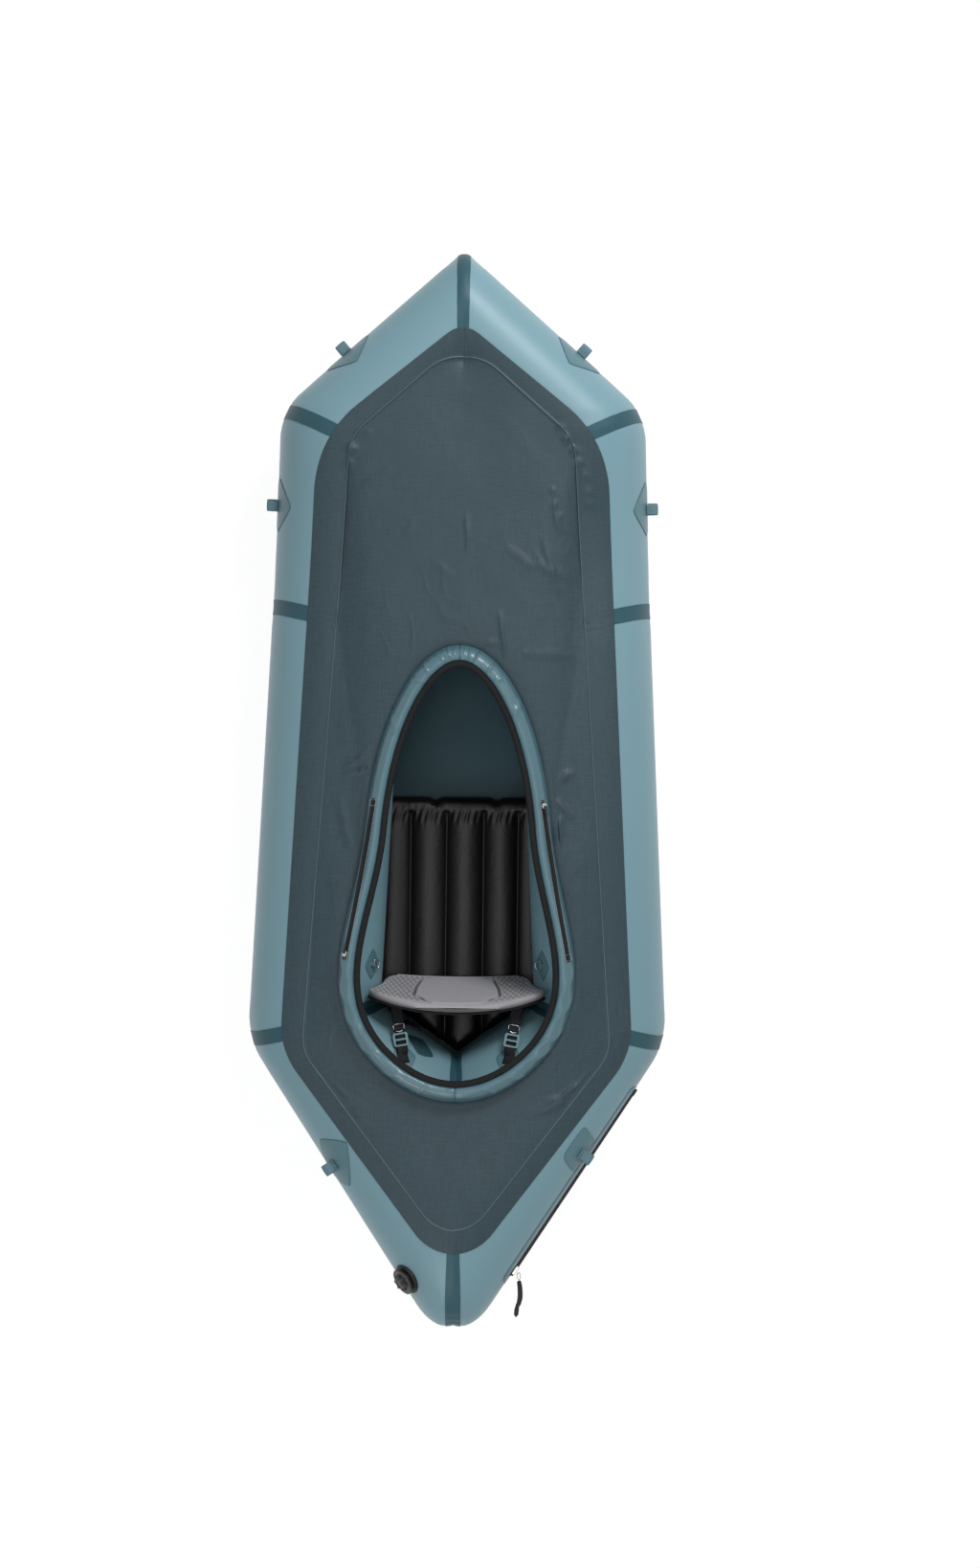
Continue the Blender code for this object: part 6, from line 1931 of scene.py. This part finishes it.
for hand, side in (("right", 1), ("left", -1)):
    line = strapLine(side)
    ringAt = straps["ringShare"] * (line[1] - line[0]).length
    buildBackStrap(hand, line, ringAt)
    buildAnchor(hand, side, line, ringAt)
    buildThighKeeper(hand, side)

buckle = {
    "place": (-0.100, -0.533), "turn": math.radians(12), "long": 0.034, "wide": 0.024, "thick": 0.0065,
    "patch": (0.080, -0.570), "patchSize": (0.038, 0.022), "strapWide": 0.020,
    # rings along the buckle: place, share of the width, share of the height
    "levels": (
        (-1, 0.80, 0.55), (-0.94, 0.92, 0.9), (-0.5, 1, 1), (0.0, 1, 1), (0.1, 0.84, 1), (0.5, 0.80, 0.9),
        (0.85, 0.70, 0.7), (1, 0.5, 0.4),
    ),
}


def matTop(x, y):
    # the top of the mat, or of the tube's flank where the mat has ended
    top = mat["bottom"] + rise(y) + mat["height"] / 2 + matProfile(x, y)
    run, t, angle = locate(abs(x), y)
    return max(top, tubePoint(run, t, angle).z)


def buildBuckle():
    # a loose buckle on the mat's rear end, with the webbing that holds it, and the dark patch beside it
    x, y = buckle["place"]
    along = Vector((math.cos(buckle["turn"]), math.sin(buckle["turn"]), 0))
    half, wide, thick = buckle["long"] / 2, buckle["wide"] / 2, buckle["thick"] / 2
    across = Vector((-along.y, along.x, 0))
    middle = Vector((x, y, 0))
    ends = [middle + along * (a * half) for a in (-1, 1)]
    edges = [middle + across * (b * wide) for b in (-1, 1)]
    pitch = (matTop(ends[1].x, ends[1].y) - matTop(ends[0].x, ends[0].y)) / (2 * half)
    roll = (matTop(edges[1].x, edges[1].y) - matTop(edges[0].x, edges[0].y)) / (2 * wide)
    under = 0.0
    for spot in ends + edges + [middle]:
        level = pitch * (spot - middle).dot(along) + roll * (spot - middle).dot(across)
        under = max(under, matTop(spot.x, spot.y) - level)
    up = (Vector((0, 0, 1)) - along * pitch - across * roll).normalized()
    across = up.cross(along).normalized()
    along = across.cross(up)
    centre = Vector((x, y, under)) + up * (thick + 0.0004)
    rings = []
    for a, b, c in buckle["levels"]:
        ring = []
        for turn in ringTurns(20):
            s, t = math.cos(turn), math.sin(turn)
            s = math.copysign(abs(s) ** 0.4, s)
            t = math.copysign(abs(t) ** 0.6, t)
            ring.append(centre + along * (a * half) + across * (s * b * wide) + up * (t * c * thick))
        rings.append(ring)
    place("looseBuckle", loftMesh("looseBuckle", rings, sharp=40), "smokedPlastic", slot="black_plastic")
    path = [centre - along * (half - 0.004) + up * 0.0042]
    path += [centre - along * (half + 0.004) + up * 0.001, centre - along * (half + 0.016) - up * 0.002]
    for step in (0.030, 0.044):
        spot = centre - along * (half + step)
        path.append(Vector((spot.x, spot.y + step * 0.3, matTop(spot.x, spot.y + step * 0.3) + 0.0022)))
    sizes = (buckle["strapWide"], straps["thin"])
    ribbon("buckleStrap", path, [across] * len(path), sizes, "blackWebbing")
    run, t, angle = locate(*buckle["patch"])
    patchPiece(
        "rearPatchLeft", run, t, angle, buckle["patchSize"], diamondOutline, -1, (), "patchDark",
        "floor_fabric",
    )


buildBuckle()
print("patches, loops and straps made")


# Cargo zip

cargo = {
    "pitch": 0.0033, "tooth": 0.0021, "below": 0.020, "above": 0.047, "front": 0.165, "rear": 0.735,
    "angle": 8.1, "cloth": 0.0125,
    "tapeGrid": (60, 14), "tapeLift": 0.0003, "tapeThickness": 0.0007, "tapeMargin": 0.026,
    "clothGrid": (80, 6), "clothLift": 0.0012, "clothThickness": 0.0006, "clothOffset": 0.0065,
}


def barFrame(name):
    # middle and the three directions of a straight CAD bar, longest first
    points = nodePoints(name)
    centred = points - points.mean(0)
    _, _, axes = numpy.linalg.svd(centred, full_matrices=False)
    spread = [centred @ axis for axis in axes]
    middle = points.mean(0)
    for axis, values in zip(axes, spread):
        middle = middle + axis * (values.max() + values.min()) / 2
    sizes = [values.max() - values.min() for values in spread]
    return Vector(middle), [Vector(axis) for axis in axes], sizes


def buildCargoZip():
    middle, (along, across, out), (length, wide, tall) = barFrame("cargo_zip_chain")
    if along.y > 0:
        along = -along
    if across.z < 0:
        across = -across
    out = across.cross(along)
    if out.x < 0:
        out = -out
    start = middle - along * (length / 2) - out * (tall / 2)
    points, faces = [], []
    body = [
        (-wide / 2, 0), (wide / 2, 0), (wide / 2, tall * 0.42), (wide * 0.3, tall * 0.5),
        (-wide * 0.3, tall * 0.5), (-wide / 2, tall * 0.42)
    ]
    rings = sweep([start, start + along * length], body, [out, out])
    place(
        "cargoZipBed", loftMesh("cargoZipBed", rings), "blackRubber", nodes=["cargo_zip_chain"],
        slot="rubber"
    )
    count = int(length / cargo["pitch"])
    for number in range(count):
        for way in (-1, 1):
            spot = start + along * ((number + 0.5 + 0.25 * way) * length / count)
            spot += across * (way * wide * 0.16) + out * (tall * 0.45)
            sizes = (cargo["tooth"], wide * 0.38, tall * 0.55)
            addTooth(points, faces, spot, (along, across, out), sizes, ((0, 1), (0.7, 1), (1, 0.6)))
    place(
        "cargoZipTeeth", newMesh("cargoZipTeeth", points, faces, smooth=False), "blackPlastic",
        slot="rubber"
    )
    rows = []
    middleAngle = math.radians(cargo["angle"])
    radius = section("stern", 0.45)[4]
    first, last = cargo["front"] - cargo["tapeMargin"], cargo["rear"] + cargo["tapeMargin"]
    columns, levels = cargo["tapeGrid"]
    for k in range(levels + 1):
        girth = -cargo["below"] + (cargo["below"] + cargo["above"]) * k / levels
        row = []
        for j in range(columns + 1):
            t = first + (last - first) * j / columns
            end = min(j, columns - j) / columns
            rounding = 0.010 * roundOff(1 - end * 30)
            edge = rounding if k < 3 else (-rounding if k > levels - 3 else 0)
            shrunk = girth + edge * (1 if k in (0, levels) else 0.4)
            row.append(tubePoint("stern", t, middleAngle + shrunk / radius, cargo["tapeLift"]))
        rows.append(row)
    mesh = sheetMesh("cargoZipTape", rows, outOfTube)
    tape = place("cargoZipTape", mesh, "patchFilm", nodes=["cargo_zip_tape"], slot="floor_fabric")
    thicken(tape, cargo["tapeThickness"])
    rows = []
    columns, levels = cargo["clothGrid"]
    for k in range(levels + 1):
        girth = cargo["cloth"] * (k / (levels / 2) - 1) + cargo["clothOffset"]
        row = []
        for j in range(columns + 1):
            t = cargo["front"] + (cargo["rear"] - cargo["front"]) * j / columns
            row.append(tubePoint("stern", t, middleAngle + girth / radius, cargo["clothLift"]))
        rows.append(row)
    cloth = place("cargoZipCloth", sheetMesh("cargoZipCloth", rows, outOfTube), "blackTape", slot="rubber")
    thicken(cloth, cargo["clothThickness"])


pull = {
    "slices": 9, "steps": 6, "rounds": 6, "thick": 0.0040, "belly": 0.0012, "tip": 0.0008,
    "sides": 16, "braids": 62, "braidDepth": 0.10,
}


def buildPull():
    # a rubber pull with a braided surface that hangs from the wire, with a rolled end
    points = nodePoints("cargo_zip_pull")
    order = points[:, 1].argsort()[::-1]
    slices = numpy.array_split(points[order], pull["slices"])
    centres = [Vector((piece.max(0) + piece.min(0)) / 2) for piece in slices]
    start = centres[0] + (centres[0] - centres[1]) * 0.4
    end = centres[-1] + (centres[-1] - centres[-2]) * 2.2
    line = [start] + centres + [end]
    path = []
    for k in range(len(line) - 1):
        for s in range(pull["steps"]):
            path.append(line[k].lerp(line[k + 1], s / pull["steps"]))
    path.append(line[-1])
    for _ in range(pull["rounds"]):
        middles = [(a + b * 2 + c) / 4 for a, b, c in zip(path, path[1:], path[2:])]
        path = [path[0], *middles, path[-1]]
    rings = []
    total = len(path) - 1
    for k, point in enumerate(path):
        share = k / total
        point += Vector((0.005 * math.sin(math.pi * share) - 0.006 * share * share, 0, 0))
    for k, point in enumerate(path):
        share = k / total
        along = (path[min(k + 1, total)] - path[max(k - 1, 0)]).normalized()
        side = along.cross(Vector((0, 0, 1))).normalized()
        up = side.cross(along)
        swell = pull["thick"] + pull["belly"] * math.sin(math.pi * min(1, share * 1.1 + 0.05))
        swell += pull["tip"] * bell(share - 0.93, 0.06)
        swell *= 1 - 0.75 * smoothStep((share - 0.965) / 0.035) - 0.55 * smoothStep((0.05 - share) / 0.05)
        ring = []
        for turn in ringTurns(pull["sides"]):
            crossed = math.sin(turn * 3 + share * pull["braids"]) * math.sin(
                turn * 3 - share * pull["braids"]
            )
            braid = 1 + pull["braidDepth"] * crossed
            across = side * (swell * 1.12 * braid * math.cos(turn))
            ring.append(point + across + up * (swell * 0.92 * braid * math.sin(turn)))
        rings.append(ring)
    place(
        "cargoPull", loftMesh("cargoPull", rings, sharp=80), "blackRubber", "cargo_pull",
        nodes=["cargo_zip_pull"], slot="rubber"
    )


buildCargoZip()
buildPull()
print("cargo zip made")


# Valve cap

cap = {
    "radius": 0.030, "rim": 0.005, "grip": 0.0185, "gripHeight": 0.009, "lobes": 6, "lobeDepth": 0.0030,
    "flutes": 30, "steps": 180,
}


def buildCap():
    joint = joints["valve_cap_twist"]
    origin, out = Vector(joint["pos_m"]), Vector(joint["axis"]).normalized()
    along = out.cross(Vector((0, 0, 1))).normalized()
    girth = out.cross(along)
    heights = nodePoints("valve_cap") @ numpy.array(out) - origin.dot(out)
    low = float(heights.min())
    radius, rim = cap["radius"], cap["rim"]
    grip, tall, lobed = cap["grip"], cap["gripHeight"], cap["lobeDepth"]
    full = rim + tall
    # distance from the axis, height, depth of the lobes, share of the flutes
    levels = [
        (radius - 0.0012, 0, 0, 1), (radius, rim * 0.22, 0, 1), (radius, rim * 0.78, 0, 1),
        (radius - 0.0010, rim, 0, 0.6), (radius - 0.0035, rim, 0, 0), (radius - 0.0042, rim * 0.86, 0, 0),
        (grip + lobed + 0.001, rim * 0.86, lobed, 0), (grip + lobed * 0.4, rim, lobed, 0),
        (grip, rim + tall * 0.7, lobed, 0), (grip - 0.0012, rim + tall * 0.93, lobed, 0),
        (grip - 0.003, full, lobed, 0), (0.0095, full, lobed * 0.3, 0), (0.0085, full - 0.0012, 0, 0),
        (0.0015, full - 0.0012, 0, 0),
    ]
    rings = []
    for distance, high, lobe, flute in levels:
        ring = []
        for k in range(cap["steps"]):
            turn = 2 * math.pi * k / cap["steps"]
            wave = lobe * (math.cos(cap["lobes"] * turn) - 1)
            notch = -0.0009 * flute * max(0, math.cos(cap["flutes"] * turn)) ** 2
            r = distance + wave + notch
            across = along * (r * math.cos(turn)) + girth * (r * math.sin(turn))
            ring.append(origin + across + out * (low + high))
        rings.append(ring)
    place(
        "valveCap", loftMesh("valveCap", rings, sharp=38), "blackPlastic", "valve_cap", nodes=["valve_cap"],
        slot="black_plastic"
    )


buildCap()


# CAD pieces that stay, with better finishes

def buildCoil():
    # the valve's spring, copied from its CAD piece with a plated finish; the real one shortens as the
    # plunger is pressed
    mesh = cadNodes["valve_spring"].data.copy()
    mesh.materials.clear()
    coil = place("valveCoil", mesh, "platedMetal", nodes=["valve_spring"], slot="metal")
    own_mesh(coil)


buildCoil()

# each finish: its pieces, and how many times their round wires are subdivided
finishes = (
    ("blackPlastic", 0, (
        "coaming_rod", "valve_body", "valve_plunger", "coaming_zip_pull_left", "coaming_zip_pull_right",
    )),
    ("blackRubber", 0, ("valve_base", "valve_seal", "cargo_zip_stop")),
    ("platedMetal", 0, ("cargo_zip_slider", "coaming_zip_slider_left", "coaming_zip_slider_right")),
    ("tealPlastic", 0, ("ladder_lock_left", "ladder_lock_right")),
    ("platedMetal", 1, (
        "cargo_zip_wire", "strap_ring_front_left", "strap_ring_front_right", "strap_ring_rear_left",
        "strap_ring_rear_right", "thigh_ring_left", "thigh_ring_right",
    )),
)


def finishNode(name, finish, rounds):
    node = cadNodes[name]
    node.data.materials.clear()
    node.data.materials.append(materials[finish])
    weld = node.modifiers.new("weld", "WELD")
    weld.merge_threshold = 0.00001
    if rounds:
        fine = node.modifiers.new("rounding", "SUBSURF")
        fine.levels = rounds
        fine.render_levels = rounds
        node.data.shade_smooth()
    else:
        bevel = node.modifiers.new("edges", "BEVEL")
        bevel.width = 0.0004
        bevel.segments = 2
        bevel.limit_method = "ANGLE"
        bevel.angle_limit = math.radians(50)


for finish, rounds, names in finishes:
    for name in names:
        finishNode(name, finish, rounds)
print("carried pieces finished:", sum(len(names) for _, _, names in finishes))


# Floor, world and lamps

studio = {
    "floorSize": 30.0, "floorTone": 0.86, "lift": 0.80, "glow": 1.14, "world": 0.27,
    # each lamp: place, power, size
    "lamps": {
        "keyLamp": ((1.35, 2.5, 2.9), 80.0, 1.2),
        "fillLamp": ((-0.9, -2.8, 2.6), 24.0, 1.6),
        "topLamp": ((-0.2, -0.3, 6.2), 30.0, 2.2),
    },
}


def seenDirectly(tree):
    # 1 for rays from the camera, from reflections and through clear pieces
    paths = tree.nodes.new("ShaderNodeLightPath")
    seen = calculate(tree, "ADD", paths.outputs["Is Camera Ray"], paths.outputs["Is Glossy Ray"])
    seen = calculate(tree, "ADD", seen, paths.outputs["Is Transmission Ray"])
    return calculate(tree, "MINIMUM", seen, 1.0)


def buildStudio():
    half = studio["floorSize"] / 2
    mesh = bpy.data.meshes.new("studioFloor")
    mesh.from_pydata(
        [(-half, -half, 0), (half, -half, 0), (half, half, 0), (-half, half, 0)], [], [(0, 1, 2, 3)]
    )
    floor = bpy.data.objects.new("studioFloor", mesh)
    floor.location.z = -0.0006
    bpy.context.scene.collection.objects.link(floor)
    material = bpy.data.materials.new("studioFloor")
    material.use_nodes = True
    tree = material.node_tree
    shader = tree.nodes["Principled BSDF"]
    tone = studio["floorTone"]
    shader.inputs["Base Color"].default_value = (tone, tone, tone, 1)
    shader.inputs["Roughness"].default_value = 0.9
    factor = calculate(tree, "MULTIPLY", seenDirectly(tree), studio["lift"])
    glow = tree.nodes.new("ShaderNodeEmission")
    glow.inputs["Strength"].default_value = studio["glow"]
    mixed = tree.nodes.new("ShaderNodeMixShader")
    tree.links.new(factor, mixed.inputs[0])
    tree.links.new(shader.outputs[0], mixed.inputs[1])
    tree.links.new(glow.outputs[0], mixed.inputs[2])
    tree.links.new(mixed.outputs[0], tree.nodes["Material Output"].inputs["Surface"])
    mesh.materials.append(material)

    world = bpy.data.worlds.new("studioWorld")
    world.use_nodes = True
    bpy.context.scene.world = world
    tree = world.node_tree
    light = tree.nodes["Background"]
    light.inputs["Color"].default_value = (1, 1, 1, 1)
    level = tree.nodes.new("ShaderNodeMapRange")
    level.inputs["To Min"].default_value = studio["world"]
    level.inputs["To Max"].default_value = 1.0
    tree.links.new(seenDirectly(tree), level.inputs["Value"])
    tree.links.new(level.outputs["Result"], light.inputs["Strength"])

    for name, (spot, power, size) in studio["lamps"].items():
        lamp = bpy.data.lights.new(name, "AREA")
        lamp.energy = power
        lamp.size = size
        holder = bpy.data.objects.new(name, lamp)
        holder.location = spot
        holder.visible_camera = False
        holder.rotation_euler = (Vector((0, 0, 0.2)) - Vector(spot)).to_track_quat("-Z", "Y").to_euler()
        bpy.context.scene.collection.objects.link(holder)


buildStudio()
print("studio made")
